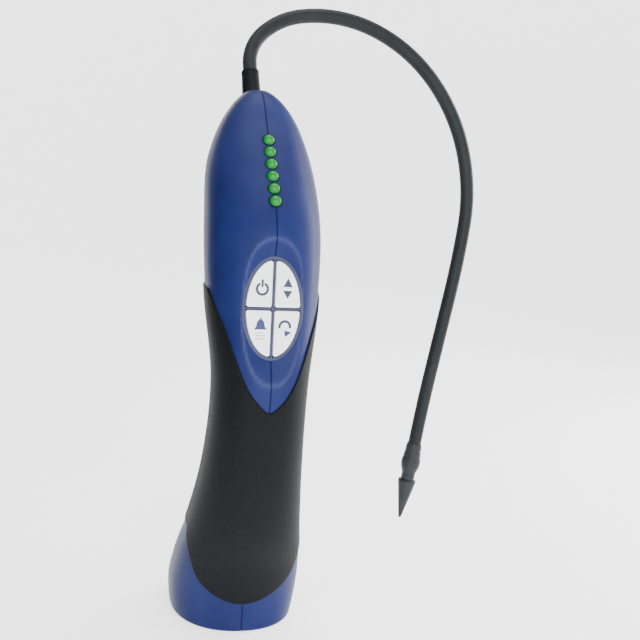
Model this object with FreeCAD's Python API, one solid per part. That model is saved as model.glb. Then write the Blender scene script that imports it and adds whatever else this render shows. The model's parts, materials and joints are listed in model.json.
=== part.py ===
import FreeCAD, Part
import math
import os
from FreeCAD import Vector

# Portable gas detector, in millimetres. +Z is up, the keypad faces -Y, and the two
# halves of the case meet on X = 0. The origin is the centre of the flat foot.

# ---- cells, which set the size of the handle ----
CELL_DIAMETER = 26.2
CELL_LENGTH = 50.0
CELL_NUB = 1.5
CELL_GAP = 0.4            # round each cell, in its tube
TUBE_WALL = 1.2
TUBE_GAP = 1.05           # tube to the case at the waist

# ---- case ----
WALL = 2.0
GRIP_THICKNESS = 2.0
GRIP_PROUD = 0.7          # how far the rubber stands out of the case
FLOOR = 5.5
BASE_WIDTH = 58.0
HEAD_WIDTH = 47.2
HEAD_HEIGHT = 117.0       # waist to crown
WAIST_ABOVE_CELLS = 15.0  # waist height beyond the stack of two cells
SKIN_GAP = 0.05           # between pieces that lie on each other
SEAM_WIDTH = 0.35
SEAM_DEPTH = 0.35

# ---- keypad ----
KEYPAD_WIDTH = 21.8
KEYPAD_HEIGHT = 38.3
KEYPAD_RISE = 33.8        # centre of the keypad above the waist
KEYPAD_DEPTH = 2.3        # keys below the front of the head
KEY_CLEARANCE = 0.25
KEY_TRAVEL = 0.8
KEY_PROUD = 0.6           # key top above the bezel
KEY_WEB = 0.9             # width of the bezel's cross
BEZEL_RIM = 1.6
BEZEL_THICKNESS = 2.0
KEY_FLANGE = 1.0
SCOOP_SLOPE = 3.0         # run of the scooped edge for each unit of rise
COLLAR_WALL = 1.6
DOME_HEIGHT = KEY_TRAVEL + 0.3
BOARD_THICKNESS = 1.6
BOARD_WIDTH = 21.0
BOARD_HEIGHT = 49.0

# ---- lamps ----
LED_DIAMETER = 5.0
LED_SPACE = 0.94          # between neighbouring lamps
LED_COUNT = 6
LED_PROUD = 2.0           # top of each lamp above the case
LED_ROW_RISE = 86.4       # middle of the row above the waist

# ---- gooseneck and tip ----
NECK_DIAMETER = 6.35
NECK_EXIT_LEAN = 32.0     # degrees back from upright
NECK_EXIT_BACK = 22.5
NECK_EXIT_DROP = 8.5      # exit point below the crown
BOOT_LENGTH = 19.0
BOOT_BASE_DIAMETER = 8.6
BOOT_END_DIAMETER = 7.6
NECK_FIRST_HINGE = 23.0   # from the exit point along the boot
FERRULE_LENGTH = 18.9
FERRULE_DIAMETER = 9.4
TIP_LENGTH = 20.2
TIP_DIAMETER = 8.9

# Each link of the gooseneck: its length, then the way its far end points, as degrees
# round from upright towards +X and degrees back towards +Y.
NECK_LINKS = (
    (18.0, 49.0, 14.0),
    (20.0, 80.0, 4.0),
    (36.0, 111.0, -3.0),
    (36.0, 138.5, -6.0),
    (36.0, 163.0, -6.0),
    (36.0, 186.0, -5.5),
    (36.0, 190.0, -4.5),
    (36.0, 189.0, -3.0),
    (36.0, 186.0, -1.5),
)

# ---- derived sizes ----
RECESS = GRIP_THICKNESS - GRIP_PROUD
INSET = WALL + RECESS + SKIN_GAP
TUBE_RADIUS = CELL_DIAMETER / 2 + CELL_GAP + TUBE_WALL
WAIST_RADIUS = TUBE_RADIUS + TUBE_GAP + INSET
WAIST_HEIGHT = 2 * CELL_LENGTH + WAIST_ABOVE_CELLS
BODY_HEIGHT = WAIST_HEIGHT + HEAD_HEIGHT
BASE_RADIUS = BASE_WIDTH / 2
HEAD_RADIUS = HEAD_WIDTH / 2

HANDLE_DEPTH = WAIST_RADIUS + 3.0

# The outside of the case as level sections, foot to crown: height, half width, centre
# along Y, depth in front of the centre and depth behind it.
SECTIONS = (
    (0.0, BASE_RADIUS - 1.5, 0.5, BASE_RADIUS - 0.5, BASE_RADIUS - 2.5),
    (0.104 * WAIST_HEIGHT, BASE_RADIUS, -1.0, BASE_RADIUS - 3.0, BASE_RADIUS - 2.5),
    (0.243 * WAIST_HEIGHT, BASE_RADIUS - 1.0, -7.5, HANDLE_DEPTH + 1.0, HANDLE_DEPTH + 4.0),
    (0.435 * WAIST_HEIGHT, WAIST_RADIUS + 4.7, -17.0, HANDLE_DEPTH + 0.5, HANDLE_DEPTH + 4.0),
    (0.696 * WAIST_HEIGHT, WAIST_RADIUS + 1.1, -25.0, HANDLE_DEPTH, HANDLE_DEPTH - 0.5),
    (WAIST_HEIGHT, WAIST_RADIUS, -28.0, HANDLE_DEPTH - 0.5, HANDLE_DEPTH + 0.5),
    (WAIST_HEIGHT + 0.299 * HEAD_HEIGHT, HEAD_RADIUS - 0.7, -20.0, 25.0, 23.5),
    (WAIST_HEIGHT + 0.556 * HEAD_HEIGHT, HEAD_RADIUS, -11.0, 28.5, 24.5),
    (WAIST_HEIGHT + 0.752 * HEAD_HEIGHT, 0.907 * HEAD_RADIUS, 1.5, 23.8, 22.0),
    (WAIST_HEIGHT + 0.838 * HEAD_HEIGHT, 0.772 * HEAD_RADIUS, 4.4, 17.8, 19.2),
    (WAIST_HEIGHT + 0.897 * HEAD_HEIGHT, 0.636 * HEAD_RADIUS, 6.0, 13.0, 16.3),
    (WAIST_HEIGHT + 0.953 * HEAD_HEIGHT, 0.437 * HEAD_RADIUS, 8.2, 9.3, 14.0),
    (WAIST_HEIGHT + 0.988 * HEAD_HEIGHT, 0.236 * HEAD_RADIUS, 10.6, 6.2, 10.0),
    (BODY_HEIGHT, 0.080 * HEAD_RADIUS, 12.2, 2.6, 4.4),
)
FRONT_ROUNDNESS = 2.2     # 2 is an ellipse, more is squarer
BACK_ROUNDNESS = 2.6
SECTION_POINTS = 32
INNER_MINIMUM = 2.5       # narrowest half width that an inner section keeps

UP = Vector(0, 0, 1)
RIGHT = Vector(1, 0, 0)
REACH = 200.0             # longer than any half of the object


def box(x0, x1, y0, y1, z0, z1):
    return Part.makeBox(x1 - x0, y1 - y0, z1 - z0, Vector(x0, y0, z0))


def rod(start, direction, length, radius):
    return Part.makeCylinder(radius, length, start, direction)


def ring(start, direction, length, outer, inner):
    hole = rod(start - direction * 1.0, direction, length + 2.0, inner)
    return rod(start, direction, length, outer).cut(hole)


def turned(profile, start, direction):
    """A solid of revolution: profile is (distance along the axis, radius) pairs."""
    points = [Vector(r, 0, s) for s, r in profile]
    points = [Vector(0, 0, profile[0][0])] + points + [Vector(0, 0, profile[-1][0])]
    face = Part.Face(Part.makePolygon(points + [points[0]]))
    solid = face.revolve(Vector(0, 0, 0), UP, 360)
    solid.Placement = FreeCAD.Placement(start, FreeCAD.Rotation(UP, direction))
    return solid


# ---- outside of the case ----

def power(value, exponent):
    return math.copysign(abs(value) ** exponent, value)


def section_wire(height, half_width, centre, front, back):
    points = []
    for i in range(SECTION_POINTS):
        angle = 2 * math.pi * i / SECTION_POINTS
        depth, roundness = (back, BACK_ROUNDNESS) if math.sin(angle) > 0 else (front, FRONT_ROUNDNESS)
        x = half_width * power(math.cos(angle), 2 / roundness)
        y = centre + depth * power(math.sin(angle), 2 / roundness)
        points.append(Vector(x, y, height))
    curve = Part.BSplineCurve()
    curve.interpolate(Points=points, PeriodicFlag=True)
    return Part.Wire(curve.toShape())


def body(grow, low=0.0):
    """The case's outside, grown outwards by grow; a shrunk one starts at low."""
    wires = []
    for height, half_width, centre, front, back in SECTIONS:
        if half_width + grow < INNER_MINIMUM and grow < 0:
            break
        if grow < 0:
            height = low + height * (1 + grow / BODY_HEIGHT - low / BODY_HEIGHT)
        wires.append(section_wire(height, half_width + grow, centre, front + grow, back + grow))
    return Part.makeLoft(wires, True, False)


def front_at(solid, height):
    line = Part.makeLine(Vector(0, -REACH, height), Vector(0, REACH, height))
    return solid.common(line).BoundBox.YMin


OUTSIDE = body(0.0)

# ---- grip sleeve: where the rubber lies ----
EAR_HEIGHT = WAIST_HEIGHT + 38.0
TONGUE_HEIGHT = WAIST_HEIGHT - 7.0
HEEL_HEIGHT = 46.0
CUFF_HEIGHT = 13.0
GRIP_SPLIT = -18.0        # in front of this the edges follow curves, behind it they are level


def mirrored_curve(half):
    """A smooth open curve in the XZ plane through half's points and their mirror images."""
    points = [Vector(-x, 0, z) for x, z in reversed(half)] + [Vector(x, 0, z) for x, z in half[1:]]
    curve = Part.BSplineCurve()
    curve.interpolate(Points=points)
    return curve.toShape()


def grip_zone(margin):
    top = EAR_HEIGHT - margin
    bottom = HEEL_HEIGHT + margin
    side = 45.0
    rise = EAR_HEIGHT - TONGUE_HEIGHT
    fall = HEEL_HEIGHT - CUFF_HEIGHT
    upper = mirrored_curve((
        (0, TONGUE_HEIGHT - margin),
        (0.21 * HEAD_RADIUS, TONGUE_HEIGHT + 0.08 * rise - margin),
        (0.42 * HEAD_RADIUS, TONGUE_HEIGHT + 0.23 * rise - margin),
        (0.58 * HEAD_RADIUS, TONGUE_HEIGHT + 0.42 * rise - margin),
        (0.78 * HEAD_RADIUS, TONGUE_HEIGHT + 0.70 * rise - margin),
        (0.93 * HEAD_RADIUS, TONGUE_HEIGHT + 0.89 * rise - margin),
        (1.00 * HEAD_RADIUS, top),
    ))
    lower = mirrored_curve((
        (0, CUFF_HEIGHT + margin),
        (0.38 * BASE_RADIUS, CUFF_HEIGHT + 0.09 * fall + margin),
        (0.67 * BASE_RADIUS, CUFF_HEIGHT + 0.29 * fall + margin),
        (0.84 * BASE_RADIUS, CUFF_HEIGHT + 0.64 * fall + margin),
        (0.90 * BASE_RADIUS, bottom),
    ))
    edges = [upper, lower]
    for sign in (-1, 1):
        corners = [
            Vector(sign * HEAD_RADIUS, 0, top),
            Vector(sign * side, 0, top),
            Vector(sign * side, 0, bottom),
            Vector(sign * 0.90 * BASE_RADIUS, 0, bottom),
        ]
        edges += [Part.makeLine(a, b) for a, b in zip(corners, corners[1:])]
    wire = Part.Wire(Part.__sortEdges__(edges))
    front = Part.Face(wire).extrude(Vector(0, REACH, 0))
    front.translate(Vector(0, GRIP_SPLIT - REACH, 0))
    back = box(-side, side, GRIP_SPLIT, REACH, bottom, top)
    return front.fuse(back).removeSplitter()


def grip_sleeve():
    layer = body(GRIP_PROUD).cut(body(-RECESS, 0.0))
    return layer.common(grip_zone(SKIN_GAP))


# ---- keypad frame ----
KEYPAD_Z = WAIST_HEIGHT + KEYPAD_RISE
KEYPAD_LOW = front_at(OUTSIDE, KEYPAD_Z - KEYPAD_HEIGHT / 2)
KEYPAD_HIGH = front_at(OUTSIDE, KEYPAD_Z + KEYPAD_HEIGHT / 2)
KEYPAD_TILT = math.atan2(KEYPAD_HIGH - KEYPAD_LOW, KEYPAD_HEIGHT)
KEYPAD_NORMAL = Vector(0, -math.cos(KEYPAD_TILT), math.sin(KEYPAD_TILT))
KEYPAD_UP = Vector(0, math.sin(KEYPAD_TILT), math.cos(KEYPAD_TILT))
KEYPAD_CENTRE = Vector(0, front_at(OUTSIDE, KEYPAD_Z) + KEYPAD_DEPTH, KEYPAD_Z)
KEYPAD_PLACE = FreeCAD.Placement(
    KEYPAD_CENTRE, FreeCAD.Rotation(RIGHT, KEYPAD_UP, KEYPAD_NORMAL, "ZXY")
)
KEY_A = KEYPAD_WIDTH / 2
KEY_B = KEYPAD_HEIGHT / 2
BEZEL_TOP = -KEY_PROUD
BEZEL_BOTTOM = BEZEL_TOP - BEZEL_THICKNESS
FLANGE_TOP = BEZEL_BOTTOM - 0.1
FLANGE_BOTTOM = FLANGE_TOP - KEY_FLANGE
BOARD_FRONT = FLANGE_BOTTOM - DOME_HEIGHT
BOARD_BACK = BOARD_FRONT - BOARD_THICKNESS
COLLAR_BOTTOM = BOARD_FRONT + SKIN_GAP
DOME_X = 0.45 * KEY_A
DOME_Y = 0.45 * KEY_B
QUADRANTS = {
    "key_power": (-1, 1),
    "key_sensitivity": (1, 1),
    "key_alarm": (-1, -1),
    "key_reset": (1, -1),
}


def on_keypad(solid):
    """Moves a solid built flat, with its face up, to the face of the keypad."""
    moved = solid.copy()
    moved.Placement = KEYPAD_PLACE.multiply(solid.Placement)
    return moved


def oval_wire(a, b, height, shift=0.0):
    flip = b > a
    ellipse = Part.Ellipse(Vector(0, 0, 0), max(a, b), min(a, b))
    wire = Part.Wire(ellipse.toShape())
    if flip:
        wire.rotate(Vector(0, 0, 0), UP, 90)
    wire.translate(Vector(0, shift, height))
    return wire


def oval(a, b, low, high):
    return Part.Face(oval_wire(a, b, low)).extrude(Vector(0, 0, high - low))


def quadrant(grow, low, high, side, level):
    """A quarter of the keypad's oval, grown by grow, clear of the cross."""
    inner = KEY_WEB / 2 + KEY_CLEARANCE - grow
    whole = oval(KEY_A + grow, KEY_B + grow, low, high)
    x0, x1 = (inner, KEYPAD_WIDTH) if side > 0 else (-KEYPAD_WIDTH, -inner)
    y0, y1 = (inner, KEYPAD_HEIGHT) if level > 0 else (-KEYPAD_HEIGHT, -inner)
    return whole.common(box(x0, x1, y0, y1, low, high))


def key(side, level):
    cap = quadrant(0.0, FLANGE_BOTTOM, 0.0, side, level)
    upright = [e for e in cap.Edges if e.BoundBox.ZLength > 1.0]
    cap = cap.makeFillet(0.9, upright)
    top = [e for e in cap.Edges if e.BoundBox.ZMin > -0.01]
    cap = cap.makeFillet(0.4, top)
    flange = quadrant(0.45, FLANGE_BOTTOM, FLANGE_TOP, side, level)
    return on_keypad(cap.fuse(flange).removeSplitter())


def key_dome(side, level):
    rim = 0.3
    profile = ((BOARD_FRONT, 3.2), (BOARD_FRONT + rim, 3.2), (FLANGE_BOTTOM, 1.9))
    dome = turned(profile, Vector(0, 0, 0), UP)
    dome.translate(Vector(side * DOME_X, level * DOME_Y, 0))
    return on_keypad(dome)


def keypad_bezel():
    rim = oval(KEY_A + BEZEL_RIM, KEY_B + BEZEL_RIM, BEZEL_BOTTOM, BEZEL_TOP)
    hole = oval(KEY_A + KEY_CLEARANCE, KEY_B + KEY_CLEARANCE, BEZEL_BOTTOM, BEZEL_TOP)
    half = KEY_WEB / 2
    across = box(-KEYPAD_WIDTH, KEYPAD_WIDTH, -half, half, BEZEL_BOTTOM, BEZEL_TOP)
    along = box(-half, half, -KEYPAD_HEIGHT, KEYPAD_HEIGHT, BEZEL_BOTTOM, BEZEL_TOP)
    cross = across.fuse(along).common(hole)
    return on_keypad(rim.cut(hole).fuse(cross).removeSplitter())


def scoop():
    """Opens the case over the keypad: a straight well for the bezel, then a sloped edge."""
    a = KEY_A + BEZEL_RIM + SKIN_GAP
    b = KEY_B + BEZEL_RIM + SKIN_GAP
    rise = 6.0
    run = rise * SCOOP_SLOPE
    well = oval(a, b, BEZEL_BOTTOM - SKIN_GAP, BEZEL_TOP + 0.2)
    wires = [oval_wire(a, b, BEZEL_TOP), oval_wire(a + run, b + run, BEZEL_TOP + rise)]
    return on_keypad(well.fuse(Part.makeLoft(wires, True, True)))


def flange_space():
    """Room behind the bezel for the flanges and domes."""
    ledge = BEZEL_RIM - 0.9
    return on_keypad(oval(KEY_A + ledge, KEY_B + ledge, BOARD_FRONT - 1.0, BEZEL_BOTTOM + 0.5))


def collar():
    a = KEY_A + BEZEL_RIM + COLLAR_WALL
    b = KEY_B + BEZEL_RIM + COLLAR_WALL
    return on_keypad(oval(a, b, COLLAR_BOTTOM, BEZEL_TOP + 1.0))


# ---- lamps ----
LED_PITCH = LED_DIAMETER + LED_SPACE
LED_ROW = (LED_COUNT - 1) * LED_PITCH
LED_Z = WAIST_HEIGHT + LED_ROW_RISE
LED_RADIUS = LED_DIAMETER / 2
LED_FLANGE = 0.4
LED_BOARD_THICKNESS = 1.6


def led_frame():
    half = 0.38 * LED_ROW
    low = Vector(0, front_at(OUTSIDE, LED_Z - half), LED_Z - half)
    high = Vector(0, front_at(OUTSIDE, LED_Z + half), LED_Z + half)
    along = (high - low).normalize()
    normal = RIGHT.cross(along)
    middle = Vector(0, front_at(OUTSIDE, LED_Z), LED_Z)
    return FreeCAD.Placement(middle, FreeCAD.Rotation(RIGHT, along, normal, "ZXY"))


LED_PLACE = led_frame()
LED_BASE = -5.0           # back of each lamp below the surface of the case


def on_led_row(solid):
    moved = solid.copy()
    moved.Placement = LED_PLACE.multiply(solid.Placement)
    return moved


def led_heights():
    return [(i - (LED_COUNT - 1) / 2) * LED_PITCH for i in range(LED_COUNT)]


def led(offset):
    start = Vector(0, offset, LED_BASE)
    shoulder = LED_PROUD - LED_RADIUS
    lamp = rod(start, UP, shoulder - LED_BASE, LED_RADIUS)
    lamp = lamp.fuse(Part.makeSphere(LED_RADIUS, Vector(0, offset, shoulder)))
    lamp = lamp.fuse(rod(start, UP, 1.0, LED_RADIUS + LED_FLANGE))
    return on_led_row(lamp.removeSplitter())


def led_holes():
    """A hole for each lamp, and room behind the wall for its flange."""
    holes = []
    for y in led_heights():
        holes.append(rod(Vector(0, y, LED_BASE), UP, REACH / 10, LED_RADIUS + SKIN_GAP))
        flange = LED_RADIUS + LED_FLANGE + SKIN_GAP
        holes.append(rod(Vector(0, y, 2 * LED_BASE), UP, 1.0 + SKIN_GAP - LED_BASE, flange))
    return on_led_row(holes[0].multiFuse(holes[1:]))


def led_board():
    half = LED_ROW / 2 + LED_DIAMETER / 2 + 1.0
    front = LED_BASE - SKIN_GAP
    plate = box(-5.0, 5.0, -half, half, front - LED_BOARD_THICKNESS, front)
    return on_led_row(plate)


# ---- main board ----

def board_shape():
    x, y = BOARD_WIDTH / 2, BOARD_HEIGHT / 2
    plate = box(-x, x, -y, y, BOARD_BACK, BOARD_FRONT)
    upright = [e for e in plate.Edges if e.BoundBox.ZLength > 1.0]
    return plate.makeFillet(3.0, upright)


BOARD_SCREWS = [(0, level * (BOARD_HEIGHT / 2 - 1.9)) for level in (-1, 1)]
SCREW_POST_RADIUS = 2.2
BOARD_SCREW_RADIUS = 0.9
BOARD_SCREW_LENGTH = 5.0


def main_board():
    plate = board_shape()
    for x, y in BOARD_SCREWS:
        plate = plate.cut(rod(Vector(x, y, BOARD_BACK - 1), UP, 4.0, BOARD_SCREW_RADIUS + 0.2))
    return on_keypad(plate)


def board_parts():
    """The chip, a connector and two capacitors on the back of the board."""
    back = BOARD_BACK - SKIN_GAP
    chip = box(-5.0, 5.0, -6.0, 4.0, back - 1.6, back)
    plug = box(-6.0, 6.0, -17.0, -12.0, back - 4.0, back)
    cans = [rod(Vector(x, 13.0, back - 6.0), UP, 6.0, 2.5) for x in (-4.0, 4.0)]
    return on_keypad(Part.makeCompound([chip, plug] + cans))


def board_screw(x, y):
    head = rod(Vector(x, y, BOARD_BACK - SKIN_GAP - 1.2), UP, 1.2, 1.7)
    shank = rod(Vector(x, y, BOARD_BACK - SKIN_GAP - 0.5), UP, BOARD_SCREW_LENGTH, BOARD_SCREW_RADIUS)
    return on_keypad(head.fuse(shank))


def board_screws():
    return Part.makeCompound([board_screw(x, y) for x, y in BOARD_SCREWS])


def screw_posts():
    """Posts that join the collar's ends to the board, with pilot holes."""
    posts = []
    for x, y in BOARD_SCREWS:
        posts.append(rod(Vector(x, y, COLLAR_BOTTOM), UP, 3.0, SCREW_POST_RADIUS))
    return on_keypad(posts[0].fuse(posts[1]))


def post_holes():
    length = BOARD_SCREW_LENGTH
    holes = [
        rod(Vector(x, y, BOARD_BACK - 0.6), UP, length + 0.3, BOARD_SCREW_RADIUS + SKIN_GAP)
        for x, y in BOARD_SCREWS
    ]
    return on_keypad(holes[0].fuse(holes[1]))


# ---- batteries ----
BATTERY_LEAN = math.radians(11.3)
BATTERY_FOOT = -6.5
BATTERY_AXIS = Vector(0, -math.sin(BATTERY_LEAN), math.cos(BATTERY_LEAN))
BATTERY_START = 12.0
CONTACT_THICKNESS = 0.8
SPRING_LENGTH = 5.6
SPRING_RADIUS = 5.0
SPRING_WIRE = 0.45
SPRING_TURNS = 3
BOSS_RADIUS = 8.0


def along_battery(distance):
    return Vector(0, BATTERY_FOOT, 0) + BATTERY_AXIS * distance


def battery(index):
    start = BATTERY_START + index * CELL_LENGTH
    shell = CELL_LENGTH - CELL_NUB
    can = rod(along_battery(start), BATTERY_AXIS, shell, CELL_DIAMETER / 2)
    nub = rod(along_battery(start + shell), BATTERY_AXIS, CELL_NUB, 3.0)
    return can.fuse(nub)


STACK_END = BATTERY_START + 2 * CELL_LENGTH


def contact_top():
    return rod(along_battery(STACK_END), BATTERY_AXIS, CONTACT_THICKNESS, 9.0)


def battery_tube():
    inner = CELL_DIAMETER / 2 + CELL_GAP
    end = STACK_END + CONTACT_THICKNESS + SKIN_GAP
    tube = rod(along_battery(0), BATTERY_AXIS, end + 1.5, TUBE_RADIUS)
    tube = tube.cut(rod(along_battery(-10), BATTERY_AXIS, end + 10, inner))
    tube = tube.cut(rod(along_battery(end - 1), BATTERY_AXIS, 4, 2.0))
    low = FLOOR + SKIN_GAP
    return tube.common(box(-REACH, REACH, -REACH, REACH, low, REACH))


def contact_spring():
    """A coil of wire: a ring swept along a smooth curve that climbs as it goes round."""
    rise = SPRING_LENGTH - 2 * SPRING_WIRE
    count = SPRING_TURNS * 16
    points = []
    for i in range(count + 1):
        angle = 2 * math.pi * SPRING_TURNS * i / count
        x, y = SPRING_RADIUS * math.cos(angle), SPRING_RADIUS * math.sin(angle)
        points.append(Vector(x, y, rise * i / count))
    curve = Part.BSplineCurve()
    curve.interpolate(Points=points)
    circle = Part.Wire(Part.makeCircle(SPRING_WIRE, points[0], curve.tangent(0)[0]))
    coil = Part.Wire(curve.toShape()).makePipeShell([circle], True, True)
    foot = BATTERY_START - SPRING_LENGTH + SPRING_WIRE - 0.1
    turn = FreeCAD.Rotation(UP, BATTERY_AXIS)
    coil.Placement = FreeCAD.Placement(along_battery(foot), turn)
    return coil


def tube_space():
    length = STACK_END + CONTACT_THICKNESS + 1.5 + 2 * SKIN_GAP
    space = rod(along_battery(0), BATTERY_AXIS, length, TUBE_RADIUS + SKIN_GAP)
    return space.common(box(-REACH, REACH, -REACH, REACH, FLOOR, REACH))


# ---- battery door, in the foot ----
DOOR_RADIUS = 16.0
DOOR_GAP = 0.3
DOOR_THICKNESS = 2.0
DOOR_CENTRE = Vector(0, BATTERY_FOOT - 1.0, 0)
DOOR_EAR = Vector(0, 11.0, 0)
DOOR_EAR_RADIUS = 4.6
PLUG_RADIUS = 14.5
SEAL_THICKNESS = 1.0
DOOR_SCREW_RADIUS = 1.5
DOOR_SCREW_HEAD = 2.8
DOOR_SCREW_LENGTH = 9.5
DOOR_POST_HEIGHT = 12.5
SCREW_CLEARANCE = 0.06


def door_outline(grow, height):
    disc = rod(DOOR_CENTRE, UP, height, DOOR_RADIUS + grow)
    ear = rod(DOOR_EAR, UP, height, DOOR_EAR_RADIUS + grow)
    half = DOOR_EAR_RADIUS + grow
    web = box(-half, half, DOOR_CENTRE.y, DOOR_EAR.y, 0, height)
    return disc.fuse([web, ear]).removeSplitter()


def battery_door():
    door = door_outline(0.0, DOOR_THICKNESS)
    door = door.fuse(rod(DOOR_CENTRE, UP, FLOOR - 0.5, PLUG_RADIUS))
    boss = rod(along_battery(0), BATTERY_AXIS, BATTERY_START - SPRING_LENGTH - 0.1, BOSS_RADIUS)
    door = door.fuse(boss.common(box(-REACH, REACH, -REACH, REACH, 0.5, REACH)))
    head = rod(DOOR_EAR, UP, 1.4, DOOR_SCREW_HEAD + SCREW_CLEARANCE)
    hole = rod(DOOR_EAR, UP, REACH / 10, DOOR_SCREW_RADIUS + SCREW_CLEARANCE)
    grooves = []
    for i in range(5):
        y = DOOR_CENTRE.y + (i - 2) * 3.2
        grooves.append(box(-6.0, 6.0, y - 0.6, y + 0.6, -1.0, 0.5))
    return door.cut([head, hole] + grooves).removeSplitter()


def door_seal():
    start = DOOR_CENTRE + UP * DOOR_THICKNESS
    return ring(start, UP, SEAL_THICKNESS, DOOR_RADIUS - 0.1, PLUG_RADIUS + SKIN_GAP)


def door_screw():
    head = rod(DOOR_EAR + UP * 0.1, UP, 1.2, DOOR_SCREW_HEAD)
    shank = rod(DOOR_EAR + UP * 0.5, UP, DOOR_SCREW_LENGTH, DOOR_SCREW_RADIUS)
    slot = box(-4, 4, DOOR_EAR.y - 0.4, DOOR_EAR.y + 0.4, 0, 0.7)
    return head.fuse(shank).cut(slot).removeSplitter()


def door_opening():
    step = DOOR_THICKNESS + SEAL_THICKNESS + SKIN_GAP
    outer = door_outline(DOOR_GAP, DOOR_THICKNESS + SKIN_GAP)
    seat = rod(DOOR_CENTRE - UP, UP, step + 1.0, DOOR_RADIUS + DOOR_GAP)
    through = rod(DOOR_CENTRE - UP, UP, FLOOR + 2.0, PLUG_RADIUS + 0.5)
    screw = rod(DOOR_EAR - UP, UP, DOOR_SCREW_LENGTH + 2.0, DOOR_SCREW_RADIUS + SCREW_CLEARANCE)
    below = outer.copy()
    below.translate(Vector(0, 0, -0.5))
    return outer.fuse([below, seat, through, screw])


# ---- screws through the case, along X ----
CASE_SCREWS = (
    (8.0, WAIST_HEIGHT + 0.69 * HEAD_HEIGHT),
    (-12.0, WAIST_HEIGHT + 0.145 * HEAD_HEIGHT),
    (14.0, 21.0),
)
CASE_BOSS = 3.6
CASE_SCREW_RADIUS = 1.5
CASE_SCREW_HEAD = 2.8
CASE_SCREW_DEPTH = 9.0    # underside of the head beyond the seam
CASE_SCREW_GRIP = 8.0     # thread beyond the seam, in the left half


def case_bosses():
    rods = [rod(Vector(-REACH / 2, y, z), RIGHT, REACH, CASE_BOSS) for y, z in CASE_SCREWS]
    bosses = rods[0].multiFuse(rods[1:])
    return bosses.common(body(-RECESS - 0.5, 0.5))


def case_screw_holes():
    holes = []
    length = CASE_SCREW_GRIP + CASE_SCREW_DEPTH + 2.0
    for y, z in CASE_SCREWS:
        start = Vector(-CASE_SCREW_GRIP - 1.0, y, z)
        holes.append(rod(start, RIGHT, length, CASE_SCREW_RADIUS + SCREW_CLEARANCE))
        mouth = Vector(CASE_SCREW_DEPTH - SKIN_GAP, y, z)
        holes.append(rod(mouth, RIGHT, REACH / 2, CASE_SCREW_HEAD + 0.2))
    return holes[0].multiFuse(holes[1:])


def case_screw(y, z):
    head = rod(Vector(CASE_SCREW_DEPTH, y, z), RIGHT, 2.0, CASE_SCREW_HEAD)
    length = CASE_SCREW_GRIP + CASE_SCREW_DEPTH + 0.5
    shank = rod(Vector(-CASE_SCREW_GRIP, y, z), RIGHT, length, CASE_SCREW_RADIUS)
    top = CASE_SCREW_DEPTH + 2.0
    slot = box(top - 0.9, top + 1, y - 0.4, y + 0.4, z - 4, z + 4)
    return head.fuse(shank).cut(slot).removeSplitter()


def case_screws():
    return Part.makeCompound([case_screw(y, z) for y, z in CASE_SCREWS])


# ---- buzzer, behind slots in the back of the head ----
BUZZER_RADIUS = 8.0
BUZZER_HEIGHT = 6.5
BUZZER_Z = WAIST_HEIGHT + 0.45 * HEAD_HEIGHT
SLOT_COUNT = 5
SLOT_PITCH = 3.0
SLOT_WIDTH = 1.3


def back_at(solid, height):
    line = Part.makeLine(Vector(0, -REACH, height), Vector(0, REACH, height))
    return solid.common(line).BoundBox.YMax


BUZZER_BACK = back_at(OUTSIDE, BUZZER_Z - BUZZER_RADIUS) - INSET - 1.0


def buzzer():
    start = Vector(0, BUZZER_BACK - BUZZER_HEIGHT, BUZZER_Z)
    can = rod(start, Vector(0, 1, 0), BUZZER_HEIGHT, BUZZER_RADIUS)
    return can.cut(rod(start + Vector(0, BUZZER_HEIGHT - 1, 0), Vector(0, 1, 0), 3, 1.2))


def sound_slots():
    slots = []
    for i in range(SLOT_COUNT):
        z = BUZZER_Z + (i - (SLOT_COUNT - 1) / 2) * SLOT_PITCH
        half = 6.0 - 0.7 * abs(i - (SLOT_COUNT - 1) / 2)
        slots.append(box(-half, half, BUZZER_BACK - 1, REACH / 2, z - SLOT_WIDTH / 2, z + SLOT_WIDTH / 2))
    return slots[0].multiFuse(slots[1:])


# ---- gooseneck exit ----
NECK_RADIUS = NECK_DIAMETER / 2
EXIT = Vector(0, NECK_EXIT_BACK, BODY_HEIGHT - NECK_EXIT_DROP)


def heading(side, back):
    side = math.radians(side)
    back = math.radians(back)
    return Vector(math.sin(side) * math.cos(back), math.sin(back), math.cos(side) * math.cos(back))


EXIT_AXIS = heading(0, NECK_EXIT_LEAN)
BOOT_SUNK = 7.0
BOOT_LIP = 0.8
BOOT_LIP_THICKNESS = 1.2
NUT_CORNER = 5.2
NUT_THICKNESS = 3.0


def neck_boot():
    base = BOOT_BASE_DIAMETER / 2
    profile = (
        (-BOOT_SUNK, base + BOOT_LIP),
        (-BOOT_SUNK + BOOT_LIP_THICKNESS, base + BOOT_LIP),
        (-BOOT_SUNK + BOOT_LIP_THICKNESS, base),
        (1.0, base),
        (BOOT_LENGTH - 0.6, BOOT_END_DIAMETER / 2),
        (BOOT_LENGTH, BOOT_END_DIAMETER / 2 - 0.4),
    )
    boot = turned(profile, EXIT, EXIT_AXIS)
    return boot.cut(rod(EXIT - EXIT_AXIS * (BOOT_SUNK + 1), EXIT_AXIS, REACH, NECK_RADIUS + SKIN_GAP))


def exit_seat():
    """A thick pad inside the crown that the boot passes through."""
    return rod(EXIT - EXIT_AXIS * (BOOT_SUNK - 1.3), EXIT_AXIS, BOOT_SUNK + 6.0, 7.5).common(body(-0.6, 0.5))


def exit_hole():
    base = BOOT_BASE_DIAMETER / 2
    start = EXIT - EXIT_AXIS * (BOOT_SUNK + 8.0)
    return rod(start, EXIT_AXIS, REACH / 4, base + SKIN_GAP)


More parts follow.
